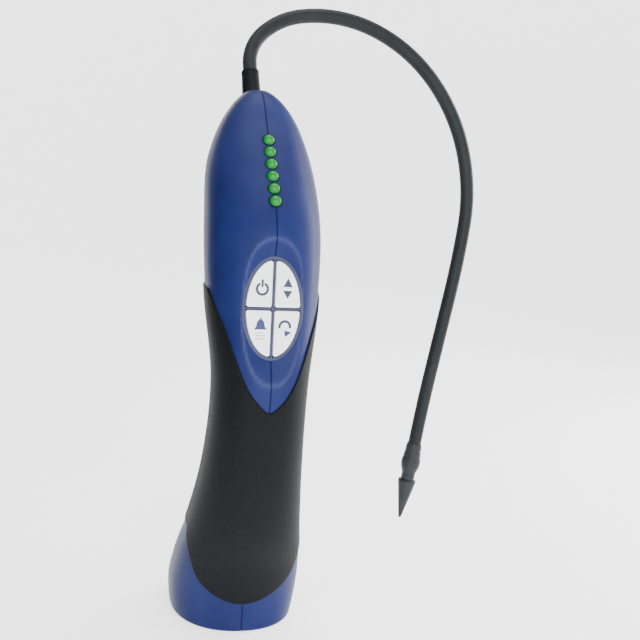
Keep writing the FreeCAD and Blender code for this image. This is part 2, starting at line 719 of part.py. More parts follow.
def exit_pocket():
    """Room inside the crown for the boot's lip and the nut."""
    depth = BOOT_SUNK + SKIN_GAP + NUT_THICKNESS + 1.0
    length = depth - BOOT_SUNK + BOOT_LIP_THICKNESS + SKIN_GAP
    return rod(EXIT - EXIT_AXIS * depth, EXIT_AXIS, length, NUT_CORNER + 0.15)


def neck_nut():
    thickness = NUT_THICKNESS
    start = EXIT - EXIT_AXIS * (BOOT_SUNK + SKIN_GAP + thickness)
    points = []
    for i in range(7):
        angle = math.radians(60 * i)
        points.append(Vector(NUT_CORNER * math.cos(angle), NUT_CORNER * math.sin(angle), 0))
    nut = Part.Face(Part.makePolygon(points)).extrude(Vector(0, 0, thickness))
    nut.Placement = FreeCAD.Placement(start, FreeCAD.Rotation(UP, EXIT_AXIS))
    return nut.cut(rod(start - EXIT_AXIS, EXIT_AXIS, thickness + 2, NECK_RADIUS + SKIN_GAP))


# ---- gooseneck links ----
# The gooseneck bends anywhere along its length. Here it is a chain of curved links, and
# each joint is a flat tongue between two cheeks on a pin.
TONGUE_HALF = 0.9
CHEEK_GAP = 0.2
JOINT_BODY = NECK_RADIUS - 0.12
JOINT_ROUND = NECK_RADIUS - 0.17
JOINT_RELIEF = NECK_RADIUS + 0.55
PIN_RADIUS = 0.8
PIN_CLEARANCE = 0.06


def neck_nodes():
    """Position, heading and pin axis at each joint. Pins lie as near to Y as they can."""
    position = EXIT + EXIT_AXIS * NECK_FIRST_HINGE
    headings = [EXIT_AXIS] + [heading(side, back) for length, side, back in NECK_LINKS]
    positions = [position]
    for (length, side, back), a, b in zip(NECK_LINKS, headings, headings[1:]):
        turn = a.getAngle(b)
        inward = (b - a * a.dot(b)).normalize()
        radius = length / turn
        position = position + a * (radius * math.sin(turn)) + inward * (radius * (1 - math.cos(turn)))
        positions.append(position)
    axes = []
    for direction in headings[:-1]:
        axis = Vector(0, 1, 0) - direction * direction.y
        axes.append(axis.normalize())
    return positions, headings, axes


NECK_POSITIONS, NECK_HEADINGS, NECK_AXES = neck_nodes()
TUBE_SEAM = 90.0          # where each bar's circle starts, clear of the joint's edges


def arc_tube(start, a, b, length):
    """A round bar of the given length that bends evenly from heading a to heading b."""
    turn = a.getAngle(b)
    inward = (b - a * a.dot(b)).normalize()
    centre = start + inward * (length / turn)
    circle = Part.makeCircle(NECK_RADIUS, start, a)
    circle.rotate(start, a, TUBE_SEAM)
    disc = Part.Face(Part.Wire(circle))
    return disc.revolve(centre, a.cross(inward), math.degrees(turn))


def joint_slab(centre, direction, axis, low, high, reach):
    """A block about a joint: from low to high along the pin, and reach each way otherwise."""
    across = axis.cross(direction)
    block = box(-reach, reach, -reach, reach, low, high)
    block.Placement = FreeCAD.Placement(centre, FreeCAD.Rotation(direction, across, axis, "ZXY"))
    return block


def pin_rod(centre, axis, radius, half):
    return rod(centre - axis * half, axis, 2 * half, radius)


def joint_stub(centre, outward, axis):
    """A round bar that ends in a ball at the joint, to cut a tongue or cheeks from."""
    length = JOINT_RELIEF + 0.8
    bar = rod(centre - outward * length, outward, length, JOINT_BODY)
    return bar.fuse(Part.makeSphere(JOINT_ROUND, centre, axis))


def relieved(solid, centre, axis):
    return solid.cut(pin_rod(centre, axis, JOINT_RELIEF, NECK_DIAMETER))


def tongue_end(solid, centre, outward, axis):
    """Gives solid a tongue at a joint: outward points from the solid past the joint."""
    slab = joint_slab(centre, outward, axis, -TONGUE_HALF, TONGUE_HALF, NECK_DIAMETER)
    tongue = joint_stub(centre, outward, axis).common(slab)
    solid = relieved(solid, centre, axis).fuse(tongue)
    return solid.cut(pin_rod(centre, axis, PIN_RADIUS + PIN_CLEARANCE, NECK_DIAMETER))


def cheek_end(solid, centre, outward, axis):
    """Gives solid two cheeks and the pin at a joint."""
    inner = TONGUE_HALF + CHEEK_GAP
    slab = joint_slab(centre, outward, axis, -inner, inner, NECK_DIAMETER)
    cheeks = joint_stub(centre, outward, axis).cut(slab)
    pin = pin_rod(centre, axis, PIN_RADIUS, inner + 0.5)
    return relieved(solid, centre, axis).fuse([cheeks, pin])


def neck_root():
    start = EXIT - EXIT_AXIS * (BOOT_SUNK + NUT_THICKNESS + 4.0)
    end = NECK_POSITIONS[0]
    bar = rod(start, EXIT_AXIS, (end - start).Length, NECK_RADIUS)
    return tongue_end(bar, end, EXIT_AXIS, NECK_AXES[0])


def neck_link(index):
    start = NECK_POSITIONS[index]
    end = NECK_POSITIONS[index + 1]
    a = NECK_HEADINGS[index]
    b = NECK_HEADINGS[index + 1]
    bar = arc_tube(start, a, b, NECK_LINKS[index][0])
    bar = cheek_end(bar, start, a * -1, NECK_AXES[index])
    if index + 1 < len(NECK_AXES):
        bar = tongue_end(bar, end, b, NECK_AXES[index + 1])
    return bar


# ---- tip ----
TIP_START = NECK_POSITIONS[-1]
TIP_AXIS = NECK_HEADINGS[-1]
FERRULE_NECK = 3.35
SPIGOT_RADIUS = 2.4
SPIGOT_LENGTH = 6.0
SENSOR_RADIUS = 1.5
TIP_CLEARANCE = 0.06
TIP_WALL = 0.9
TIP_POINT = 0.7
INLET_RADIUS = 0.35


def tip_ferrule():
    big = FERRULE_DIAMETER / 2
    end = FERRULE_LENGTH
    profile = (
        (0.0, NECK_RADIUS + 0.15),
        (1.2, NECK_RADIUS + 0.55),
        (3.0, NECK_RADIUS + 0.75),
        (6.5, big - 0.35),
        (9.0, big),
        (11.5, big - 0.1),
        (13.8, big - 0.8),
        (15.2, FERRULE_NECK),
        (end - 0.1, FERRULE_NECK),
        (end - 0.1, SPIGOT_RADIUS),
        (end + SPIGOT_LENGTH, SPIGOT_RADIUS),
    )
    body_solid = turned(profile, TIP_START, TIP_AXIS)
    bore = rod(TIP_START + TIP_AXIS * (end - 4.0), TIP_AXIS, SPIGOT_LENGTH + 5.0, SENSOR_RADIUS + SKIN_GAP)
    return body_solid.cut(bore)


def sensor_element():
    start = TIP_START + TIP_AXIS * (FERRULE_LENGTH - 4.0)
    return rod(start, TIP_AXIS, SPIGOT_LENGTH + 5.5, SENSOR_RADIUS)


def tip_radius(distance):
    """Outer radius of the cone at a distance from its shoulder."""
    share = min(max((distance - 1.2) / (TIP_LENGTH - 1.2), 0.0), 1.0)
    return TIP_DIAMETER / 2 + (TIP_POINT - TIP_DIAMETER / 2) * share


def tip_cone():
    start = TIP_START + TIP_AXIS * FERRULE_LENGTH
    outside = (
        (0.0, tip_radius(0) - 0.5),
        (0.5, tip_radius(0)),
        (1.2, tip_radius(0)),
        (TIP_LENGTH - 0.4, TIP_POINT),
        (TIP_LENGTH, TIP_POINT - 0.25),
    )
    bore = SPIGOT_RADIUS + TIP_CLEARANCE
    hollow = SPIGOT_LENGTH + 0.6
    inside = (
        (-1.0, bore),
        (hollow, bore),
        (hollow + 2.6, tip_radius(hollow + 2.6) - TIP_WALL),
        (TIP_LENGTH - 4.0, INLET_RADIUS),
        (TIP_LENGTH + 1.0, INLET_RADIUS),
    )
    return turned(outside, start, TIP_AXIS).cut(turned(inside, start, TIP_AXIS))


# ---- the case ----

def case():
    shell = OUTSIDE.cut(body(-INSET, FLOOR))
    extras = [case_bosses(), collar().common(body(-0.4, 0.5)), exit_seat()]
    extras.append(screw_posts().common(body(-0.4, 0.5)))
    post = rod(DOOR_EAR, UP, DOOR_POST_HEIGHT, 3.2)
    extras.append(post.common(body(-0.4, 0.5)))
    shell = shell.fuse(extras)
    groove = grip_zone(0.0).common(body(GRIP_PROUD + 1.0)).cut(body(-RECESS - SKIN_GAP, 0.0))
    shell = shell.cut(groove)
    cuts = [scoop(), flange_space(), post_holes(), led_holes(), door_opening()]
    cuts += [case_screw_holes(), sound_slots(), exit_hole(), exit_pocket(), tube_space()]
    for tool in cuts:
        shell = shell.cut(tool)
    seam = box(-SEAM_WIDTH / 2, SEAM_WIDTH / 2, -REACH, REACH, -1, REACH * 2)
    skin = body(1.0).cut(body(-SEAM_DEPTH, SEAM_DEPTH))
    return shell.cut(seam.common(skin))


def main_solids(shape, smallest=20.0):
    """The solids of a shape, without the crumbs that a cut leaves."""
    kept = [s for s in shape.Solids if s.Volume > smallest]
    return kept[0] if len(kept) == 1 else Part.makeCompound(kept)


def pieces():
    whole = case()
    left = box(-REACH, 0, -REACH, REACH, -1, 2 * REACH)
    right = box(0, REACH, -REACH, REACH, -1, 2 * REACH)
    made = {
        "housing_left": main_solids(whole.common(left)),
        "housing_right": main_solids(whole.common(right)),
        "grip_sleeve": main_solids(grip_sleeve()),
        "keypad_bezel": keypad_bezel(),
        "main_board": main_board(),
        "board_parts": board_parts(),
        "board_screws": board_screws(),
        "led_board": led_board(),
        "battery_lower": battery(0),
        "battery_upper": battery(1),
        "battery_tube": battery_tube(),
        "contact_top": contact_top(),
        "contact_spring": contact_spring(),
        "battery_door": battery_door(),
        "door_seal": door_seal(),
        "door_screw": door_screw(),
        "case_screws": case_screws(),
        "buzzer": buzzer(),
        "neck_nut": neck_nut(),
        "neck_boot": neck_boot(),
        "neck_root": neck_root(),
        "tip_ferrule": tip_ferrule(),
        "sensor_element": sensor_element(),
        "tip_cone": tip_cone(),
    }
    for name, (side, level) in QUADRANTS.items():
        made[name] = key(side, level)
        made[name.replace("key", "dome", 1)] = key_dome(side, level)
    for i, offset in enumerate(led_heights()):
        made["led_%d" % (i + 1)] = led(offset)
    for i in range(len(NECK_LINKS)):
        made["neck_link_%d" % (i + 1)] = neck_link(i)
    return made


def main():
    os.makedirs("parts", exist_ok=True)
    for name, shape in pieces().items():
        bounds = shape.BoundBox
        print(
            name, "solids", len(shape.Solids), "valid", shape.isValid(), "volume %.1f" % shape.Volume,
            "x %.1f %.1f y %.1f %.1f z %.1f %.1f"
            % (bounds.XMin, bounds.XMax, bounds.YMin, bounds.YMax, bounds.ZMin, bounds.ZMax),
        )
        shape.exportStep("parts/%s.step" % name)
    for i, (position, axis) in enumerate(zip(NECK_POSITIONS, NECK_AXES)):
        print("joint %d at %.3f %.3f %.3f axis %.4f %.4f %.4f" % ((i + 1,) + tuple(position) + tuple(axis)))
    print("tip axis", tuple(TIP_AXIS), "keypad normal", tuple(KEYPAD_NORMAL), "centre", tuple(KEYPAD_CENTRE))


main()
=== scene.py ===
# %% [markdown]
# # A portable gas detector
#
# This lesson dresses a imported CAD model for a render. The detector is a slim blue case
# with a black rubber grip, six green lamps, four white keys in an oval, and a black
# gooseneck that carries the sensor in its tip. The CAD solids give every size and
# place, and the cells below lay smoother skins and finishes over them.

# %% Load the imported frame
import bpy
import json
import math
import numpy as np
from mathutils import Matrix, Vector


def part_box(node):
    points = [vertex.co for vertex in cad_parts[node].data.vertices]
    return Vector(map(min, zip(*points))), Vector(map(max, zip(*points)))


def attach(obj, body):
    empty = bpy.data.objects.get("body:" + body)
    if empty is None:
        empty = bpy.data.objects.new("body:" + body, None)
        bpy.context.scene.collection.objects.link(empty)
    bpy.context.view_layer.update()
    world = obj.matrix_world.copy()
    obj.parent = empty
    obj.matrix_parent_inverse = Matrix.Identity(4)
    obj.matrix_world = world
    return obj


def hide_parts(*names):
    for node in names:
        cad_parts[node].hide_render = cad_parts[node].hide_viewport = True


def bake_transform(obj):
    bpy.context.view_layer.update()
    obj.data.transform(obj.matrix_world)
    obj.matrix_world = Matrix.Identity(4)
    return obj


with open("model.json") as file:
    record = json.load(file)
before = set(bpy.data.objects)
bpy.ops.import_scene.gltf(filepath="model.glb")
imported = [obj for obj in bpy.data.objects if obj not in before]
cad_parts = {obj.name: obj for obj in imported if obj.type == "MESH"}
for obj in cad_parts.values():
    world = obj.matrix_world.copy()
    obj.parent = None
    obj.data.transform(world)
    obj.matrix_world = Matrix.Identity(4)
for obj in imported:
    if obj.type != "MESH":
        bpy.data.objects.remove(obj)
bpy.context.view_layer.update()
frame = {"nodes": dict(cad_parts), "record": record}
MM = 0.001
nodes = frame["nodes"]


def ring_faces(rings, around, inward=False):
    """Faces of a tube of rings, each ring with the same number of points."""
    faces = []
    for r in range(rings - 1):
        for k in range(around):
            a, b = r * around + k, r * around + (k + 1) % around
            face = (a, b, b + around, a + around)
            faces.append((a, a + around, b + around, b) if inward else face)
    return faces


def turns(around):
    """Cosine and sine of even steps round a circle."""
    angles = [2 * math.pi * k / around for k in range(around)]
    return [(math.cos(a), math.sin(a)) for a in angles]

# %% [markdown]
# ## Camera
#
# The shot is taken from a little above and to the left, and the camera is rolled a few
# degrees, so the case leans. Its three axes come from the azimuth, the elevation and the
# roll, and a small lens shift frames the object without turning the camera.

# %% Camera
AZIMUTH, ELEVATION, ROLL = math.radians(13.0), math.radians(14.33), math.radians(4.08)
TARGET = Vector((0.0, -0.0175, 0.118))
DISTANCE = 0.450


def make_camera():
    look = Vector((math.sin(AZIMUTH) * math.cos(ELEVATION),
                   math.cos(AZIMUTH) * math.cos(ELEVATION), -math.sin(ELEVATION)))
    across = Vector((math.cos(AZIMUTH), -math.sin(AZIMUTH), 0.0))
    upright = across.cross(look)
    right = across * math.cos(ROLL) + upright * math.sin(ROLL)
    up = upright * math.cos(ROLL) - across * math.sin(ROLL)
    data = bpy.data.cameras.new("camera")
    data.sensor_width, data.lens = 36.0, 59.73
    data.shift_x, data.shift_y = 0.1021, 0.0752
    data.clip_start, data.clip_end = 0.02, 20.0
    camera = bpy.data.objects.new("camera", data)
    camera.matrix_world = Matrix((
        (right.x, up.x, -look.x, 0), (right.y, up.y, -look.y, 0),
        (right.z, up.z, -look.z, 0), (0, 0, 0, 1)))
    camera.location = TARGET - look * DISTANCE
    bpy.context.scene.collection.objects.link(camera)
    bpy.context.scene.camera = camera
    return camera


camera = make_camera()
print("camera at", [round(c, 4) for c in camera.location])

# %% [markdown]
# ## Light and floor
#
# A white sweep under soft boxes is the usual studio for small tools. A tall box to the
# right and behind makes the pale band down that side, a weaker one fills the front, and
# one above lifts the crown. The floor is a round sheet of pale paper that curls up at
# its rim and glows a little, so the ground is bright from every side.

# %% Lights, sweep and sky
def area_light(name, place, aim, size, power):
    data = bpy.data.lights.new(name, "AREA")
    data.shape = "RECTANGLE"
    data.size, data.size_y = size
    data.energy = power
    light = bpy.data.objects.new(name, data)
    light.location = place
    light.rotation_euler = (Vector(aim) - Vector(place)).to_track_quat("-Z", "Y").to_euler()
    bpy.context.scene.collection.objects.link(light)
    return light


area_light("softbox_right", (0.62, 0.20, 0.26), (0.0, 0.0, 0.13), (0.10, 0.85), 5.5)
area_light("softbox_front", (-0.05, -0.80, 0.45), (0.0, 0.0, 0.11), (0.50, 0.50), 6.0)
area_light("softbox_top", (0.05, 0.05, 0.95), (0.0, 0.0, 0.10), (0.70, 0.70), 8.0)


SKY_STRENGTH, SWEEP_GLOW = 0.9, 1.4
world = bpy.data.worlds.new("studio")
world.use_nodes = True
sky = world.node_tree.nodes["Background"]
sky.inputs["Color"].default_value = (1.0, 1.0, 1.0, 1.0)
sky.inputs["Strength"].default_value = SKY_STRENGTH
bpy.context.scene.world = world


def prop(name, points, faces, paint, grey, roughness, glow, smooth=True):
    """A studio prop: it shapes the light and is no part of the object."""
    mesh = bpy.data.meshes.new(name)
    mesh.from_pydata(points, [], faces)
    mesh.polygons.foreach_set("use_smooth", [smooth] * len(faces))
    piece = bpy.data.objects.new(name, mesh)
    material = bpy.data.materials.new(paint)
    material.use_nodes = True
    shader = material.node_tree.nodes["Principled BSDF"]
    for socket, value in (("Base Color", (grey, grey, grey, 1.0)), ("Roughness", roughness),
                          ("Specular IOR Level", 0.0), ("Emission Color", (1.0, 1.0, 1.0, 1.0)),
                          ("Emission Strength", glow)):
        shader.inputs[socket].default_value = value
    mesh.materials.append(material)
    bpy.context.scene.collection.objects.link(piece)
    return piece


def make_sweep(flat=0.9, bend=0.9, around=96):
    """A round sheet of paper that curls up at its rim, so no view shows a horizon."""
    curl = np.linspace(0.06, math.pi / 2, 26)
    rings = [0.0, 0.3, 0.6, flat] + [flat + bend * math.sin(a) for a in curl]
    rises = [0.0, 0.0, 0.0, 0.0] + [bend * (1 - math.cos(a)) for a in curl]
    points = [(radius * c, radius * s, rise - 0.0002)
              for radius, rise in zip(rings, rises) for c, s in turns(around)]
    return prop("sweep", points, ring_faces(len(rings), around), "sweep_paper", 0.92, 0.9, SWEEP_GLOW)


make_sweep()
# A black card beside the part, unseen by the camera, keeps one flank dark.
card = prop("card_left", [(-0.26, 0.50, 0.0), (-0.32, -0.20, 0.0), (-0.32, -0.20, 0.40), (-0.26, 0.50, 0.40)],
            [(0, 1, 2, 3)], "card_left_black", 0.01, 0.5, 0.0, smooth=False)
card.visible_camera = False

# %% [markdown]
# ## Finishes
#
# A finish is a shader: nodes that turn a place on the surface into a colour, a gloss and
# a fine relief. The class below wraps a socket and lets Python's own signs build the Math
# nodes, so a finish reads as a sum.

# %% A socket that can be used in sums
class Wire:
    def __init__(self, tree, socket):
        self.tree, self.socket = tree, socket

    def maths(self, operation, first, second=None, third=None):
        node = self.tree.nodes.new("ShaderNodeMath")
        node.operation = operation
        for slot, value in zip(node.inputs, (first, second, third)):
            if isinstance(value, Wire):
                self.tree.links.new(value.socket, slot)
            elif value is not None:
                slot.default_value = value
        return Wire(self.tree, node.outputs[0])

    def __add__(self, other):
        return self.maths("ADD", self, other)

    def __sub__(self, other):
        return self.maths("SUBTRACT", self, other)

    def __rsub__(self, other):
        return self.maths("SUBTRACT", other, self)

    def __mul__(self, other):
        return self.maths("MULTIPLY", self, other)

    def __truediv__(self, other):
        return self.maths("DIVIDE", self, other)

    __radd__, __rmul__ = __add__, __mul__

    def most(self, other):
        return self.maths("MAXIMUM", self, other)

    def least(self, other):
        return self.maths("MINIMUM", self, other)

    def step(self, low, high):
        """0 below low, 1 above high, and an even rise between."""
        return ((self - low) / (high - low)).most(0.0).least(1.0)


# %% A finish: one material with its shader
def linear(*srgb):
    """A colour given as 0 to 255 screen values, as the shader wants it."""
    parts = [c / 255 for c in srgb]
    return tuple(c / 12.92 if c <= 0.04045 else ((c + 0.055) / 1.055) ** 2.4 for c in parts) + (1.0,)


class Finish:
    def __init__(self, name, colour, roughness, **constants):
        self.material = bpy.data.materials.new(name)
        self.material.use_nodes = True
        self.material.diffuse_color = colour
        self.tree = self.material.node_tree
        self.shader = self.tree.nodes["Principled BSDF"]
        self.set("Base Color", colour)
        self.set("Roughness", roughness)
        for socket, value in constants.items():
            self.set(socket.replace("_", " "), value)

    def set(self, socket, value):
        if isinstance(value, Wire):
            self.tree.links.new(value.socket, self.shader.inputs[socket])
        else:
            self.shader.inputs[socket].default_value = value

    def node(self, kind, settings=None, output=0, **inputs):
        """Adds any other node: its settings first, then the values or links of its sockets."""
        node = self.tree.nodes.new("ShaderNode" + kind)
        for key, value in (settings or {}).items():
            setattr(node, key, value)
        for key, value in inputs.items():
            place = int(key[1:]) if key[0] == "_" else key.replace("_", " ")
            if isinstance(value, Wire):
                self.tree.links.new(value.socket, node.inputs[place])
            else:
                node.inputs[place].default_value = value
        return Wire(self.tree, node.outputs[output])

    def place(self):
        return self.node("TexCoord", output=3)

    def noise(self, scale, detail=3.0, rough=0.55, stretch=None):
        place = self.place()
        if stretch:
            place = self.node("VectorMath", {"operation": "MULTIPLY"}, _0=place, _1=stretch)
        return self.node("TexNoise", Vector=place, Scale=scale, Detail=detail, Roughness=rough)

    def cells(self, scale, feature="F1"):
        return self.node("TexVoronoi", {"feature": feature}, Vector=self.place(), Scale=scale)

    def mask(self, name):
        return self.node("Attribute", {"attribute_name": name}, output=2)

    def mix(self, factor, first, second):
        return self.node("Mix", {"data_type": "RGBA"}, output=2, _0=factor, _6=first, _7=second)

    def relief(self, height, depth, strength=1.0):
        """Raises the surface by height times depth metres."""
        bump = self.node("Bump", Height=height, Distance=depth, Strength=strength)
        self.set("Normal", bump)


finishes = {}
print("shader helpers ready")

# %% [markdown]
# ### Blue case plastic
#
# The case is moulded ABS: a deep blue with a fine spark-eroded grain, slightly cloudy in
# its gloss where hands polish it. A flat colour would look like paint, so the base colour
# drifts a little and the grain is a bump 0.2 mm across. Two masks measured on the mesh later
# paint light and shade: "edge" paints a highlight along the scoop's rim, broken up by
# scuffs, and "groove" paints shade into the seam and the sound slots.

# %% Case plastic
def case_plastic():
    finish = Finish("case_blue", linear(20, 30, 74), 0.42, Specular_IOR_Level=0.12, IOR=1.4)
    cloud = finish.noise(38.0, 4.0)
    drift = finish.mix(cloud.step(0.35, 0.7), linear(21, 28, 70), linear(27, 36, 82))
    scuffs = finish.noise(900.0, 4.0, 0.7, stretch=(1.0, 1.0, 0.25)).step(0.58, 0.78)
    # Painted highlight: the mask "edge" makes the scoop's rim paler, broken up by scuffs.
    rim_highlight = finish.mask("edge") * (0.35 + 0.65 * scuffs)
    paler = finish.mix(rim_highlight * 0.42, drift, linear(96, 104, 146))
    # Painted shade: the mask "groove" darkens the seam and the sound slots.
    finish.set("Base Color", finish.mix(finish.mask("groove") * 0.75, paler, linear(8, 10, 26)))
    finish.set("Roughness", 0.36 + 0.10 * cloud + 0.10 * finish.mask("groove"))
    grain = finish.noise(5200.0, 2.0) + 0.5 * finish.noise(1700.0, 2.0)
    finish.relief(grain, 0.000022, 0.55)
    return finish.material


finishes["case_blue"] = case_plastic()

# %% [markdown]
# ### Rubber, silicone and dark plastics
#
# The grip is a soft rubber moulded over the case: near black and dull, with a dimpled
# texture that keeps a gloved hand from slipping. The boot, the sheath and the tip are
# close cousins with less grain, so one maker serves them all.

# %% Rubbers and dark plastics
def dark_material(name, colour, lift, roughness, grain_size, depth, dimples=0.0):
    finish = Finish(name, colour, roughness, Specular_IOR_Level=0.12, IOR=1.4)
    cloud = finish.noise(45.0, 4.0)
    dust = finish.noise(1400.0, 3.0, 0.65).step(0.5, 0.85)
    base = finish.mix(cloud.step(0.3, 0.75), colour, lift)
    finish.set("Base Color", finish.mix(dust * 0.06, base, linear(70, 74, 80)))
    finish.set("Roughness", roughness - 0.05 + 0.12 * cloud)
    grain = finish.noise(grain_size, 2.0)
    if dimples:
        grain = grain + finish.cells(dimples).step(0.0, 0.55) * 0.8
    finish.relief(grain, depth, 0.6)
    return finish.material


for name, colour, lift, *rest in (
    ("grip_rubber", (7, 9, 12), (11, 13, 16), 0.56, 3600.0, 0.00005, 1250.0),
    ("boot_rubber", (7, 9, 10), (11, 13, 14), 0.50, 2600.0, 0.00002),
    ("neck_sheath", (26, 29, 30), (34, 37, 38), 0.40, 1500.0, 0.00002),
    ("tip_plastic", (37, 40, 42), (46, 49, 51), 0.34, 3000.0, 0.000015),
    ("bezel_grey", (54, 57, 78), (62, 65, 86), 0.42, 4200.0, 0.000015),
    ("door_plastic", (18, 26, 62), (24, 33, 74), 0.42, 3400.0, 0.00003),
    ("seal_rubber", (28, 30, 32), (36, 38, 40), 0.6, 3000.0, 0.00002),
    ("black_plastic", (22, 23, 25), (30, 31, 33), 0.45, 3000.0, 0.00002),
    ("tube_plastic", (58, 60, 64), (70, 72, 76), 0.45, 2600.0, 0.00002),
    ("gap_dark", (14, 16, 24), (20, 22, 32), 0.6, 2600.0, 0.00002),
):
    finishes[name] = dark_material(name, linear(*colour), linear(*lift), *rest)

# %% [markdown]
# ### Keys, legends and lamps
#
# The keys are white silicone: light goes a little way in, so a touch of subsurface
# softens their edges. The legends are printed ink. Each lamp is a round-topped green
# lens, glossy, with light and shade painted in: Layer Weight makes it lighter at its core
# than at its rim without any glass, which keeps the render clean, and a faint painted
# green glow, brighter at the core, makes its green richer.

# %% Keys, ink and lamps
def key_silicone():
    finish = Finish("key_white", linear(238, 240, 244), 0.42, Subsurface_Weight=0.12,
                    Subsurface_Scale=0.0012, Coat_Weight=0.1, Coat_Roughness=0.3)
    cloud = finish.noise(160.0, 3.0)
    finish.set("Base Color", finish.mix(cloud.step(0.35, 0.75), linear(234, 236, 241), linear(243, 244, 247)))
    finish.set("Roughness", 0.38 + 0.1 * cloud)
    finish.relief(finish.noise(4800.0, 2.0), 0.00001, 0.4)
    return finish.material


def legend_ink(name, colour):
    finish = Finish(name, colour, 0.5)
    speck = finish.noise(5200.0, 2.0)
    finish.set("Base Color", finish.mix(speck.step(0.3, 0.8) * 0.12, colour, linear(30, 52, 92)))
    finish.set("Roughness", 0.42 + 0.16 * speck)
    finish.relief(speck, 0.000008, 0.4)
    return finish.material


def lamp_lens():
    # Painted glow: a faint emission makes the lens a richer green, brighter at its core.
    finish = Finish("lamp_green", linear(2, 104, 30), 0.14, Specular_IOR_Level=0.22,
                    Emission_Strength=0.16)
    # Painted light and shade: facing makes the core lighter and the rim darker, in place of light through a
    # clear lens.
    facing = finish.node("LayerWeight", output=1, Blend=0.45)
    cloud = finish.noise(700.0, 2.0)
    core = finish.mix(facing, linear(2, 112, 36), linear(0, 58, 18))
    finish.set("Base Color", finish.mix(cloud.step(0.35, 0.75) * 0.3, core, linear(2, 88, 30)))
    finish.set("Emission Color", finish.mix(facing, linear(0, 160, 60), linear(0, 50, 18)))
    finish.set("Roughness", 0.08 + 0.1 * cloud)
    finish.relief(cloud, 0.00001, 0.3)
    return finish.material


finishes["key_white"] = key_silicone()
finishes["silicone"] = key_silicone()
finishes["silicone"].name = "silicone"
for name, colour in (("legend_slate", (4, 26, 56)), ("legend_blue", (2, 28, 84)),
                     ("legend_wave", (70, 84, 112))):
    finishes[name] = legend_ink(name, linear(*colour))
finishes["lamp_green"] = lamp_lens()

# %% [markdown]
# ### Metals, circuit boards and cells
#
# Inside are the boards, two cells and steel screws. They show when the door slides
# away, so each has its own look too: turned steel with faint rings, a green solder mask
# with copper tracks under it, and a printed foil jacket on the cells.

# %% Metals and the inside
def turned_metal(name, colour, roughness):
    finish = Finish(name, colour, roughness, Metallic=1.0)
    streak = finish.noise(3000.0, 3.0, 0.6, stretch=(0.12, 1.0, 1.0))
    finish.set("Base Color", finish.mix(streak.step(0.3, 0.75) * 0.35, colour, linear(90, 90, 92)))
    finish.set("Roughness", roughness - 0.06 + 0.2 * streak)
    finish.relief(streak, 0.00001, 0.5)
    return finish.material


def solder_mask():
    finish = Finish("board_green", linear(20, 92, 52), 0.3, Coat_Weight=0.5)
    tracks = finish.cells(420.0, "DISTANCE_TO_EDGE").step(0.03, 0.05)
    pads = finish.noise(260.0, 2.0).step(0.62, 0.66)
    green = finish.mix(tracks, linear(44, 132, 78), linear(16, 84, 46))
    finish.set("Base Color", finish.mix(pads, green, linear(196, 178, 120)))
    finish.set("Metallic", pads * 0.8)
    finish.relief(tracks, 0.00002, 0.5)
    return finish.material


def cell_foil():
    finish = Finish("cell_jacket", linear(150, 146, 120), 0.3, Metallic=0.5)
    height = finish.node("SeparateXYZ", output=2, Vector=finish.place())
    band = height.maths("FRACT", height * 20.0).step(0.28, 0.30)
    grain = finish.noise(1800.0, 3.0, stretch=(1.0, 1.0, 0.1))
    finish.set("Base Color", finish.mix(band, linear(186, 120, 48), linear(34, 34, 38)))
    finish.set("Roughness", 0.26 + 0.12 * grain)
    finish.relief(grain, 0.00001, 0.4)
    return finish.material


for name, colour, roughness in (("screw_steel", (168, 170, 174), 0.32), ("neck_steel", (150, 152, 156), 0.36),
                                ("sensor_steel", (180, 182, 184), 0.28), ("nut_brass", (190, 160, 92), 0.34)):
    finishes[name] = turned_metal(name, linear(*colour), roughness)
finishes["board_green"] = solder_mask()
finishes["cell_jacket"] = cell_foil()
print("finishes", len(finishes))

# %% [markdown]
# ## Dress the CAD solids
#
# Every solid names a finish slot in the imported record, and gets that finish first, so
# that nothing keeps its plain CAD colour.

# %% Put a finish on every solid
slot_of = {part["node"]: part["material_slot"] for part in frame["record"]["subparts"]}


def wear(piece, finish):
    piece.data.materials.clear()
    piece.data.materials.append(finishes[finish])
    return piece


for name, node in nodes.items():
    wear(node, slot_of[name])
print("slots", sorted(set(slot_of.values())))

# %% [markdown]
# ## The skin of the case
#
# The case is two halves that meet on a seam down the middle. Its shape is a stack of
# level sections, each a rounded oval that is deeper in front or behind. The CAD skin is
# cut into flat facets, so a finer one is laid here by the same rule: one smooth curve
# through the sections gives an oval at any height, and each oval is walked at even steps.

# %% Sections from foot to crown
SECTIONS = np.array((   # height, half width, centre along Y, depth in front, depth behind
    (0.0, 27.5, 0.5, 28.5, 26.5), (11.96, 29.0, -1.0, 26.0, 26.5),
    (27.945, 28.0, -7.5, 23.1, 26.1), (50.025, 23.8, -17.0, 22.6, 26.1),
    (80.04, 20.2, -25.0, 22.1, 21.6), (115.0, 19.1, -28.0, 21.6, 22.6),
    (149.983, 22.9, -20.0, 25.0, 23.5), (180.052, 23.6, -11.0, 28.5, 24.5),
    (202.984, 21.405, 1.5, 23.8, 22.0), (213.046, 18.219, 4.4, 17.8, 19.2),
    (219.949, 15.01, 6.0, 13.0, 16.3), (226.501, 10.313, 8.2, 9.3, 14.0),
    (230.596, 5.57, 10.6, 6.2, 10.0), (232.0, 1.888, 12.2, 2.6, 4.4)))


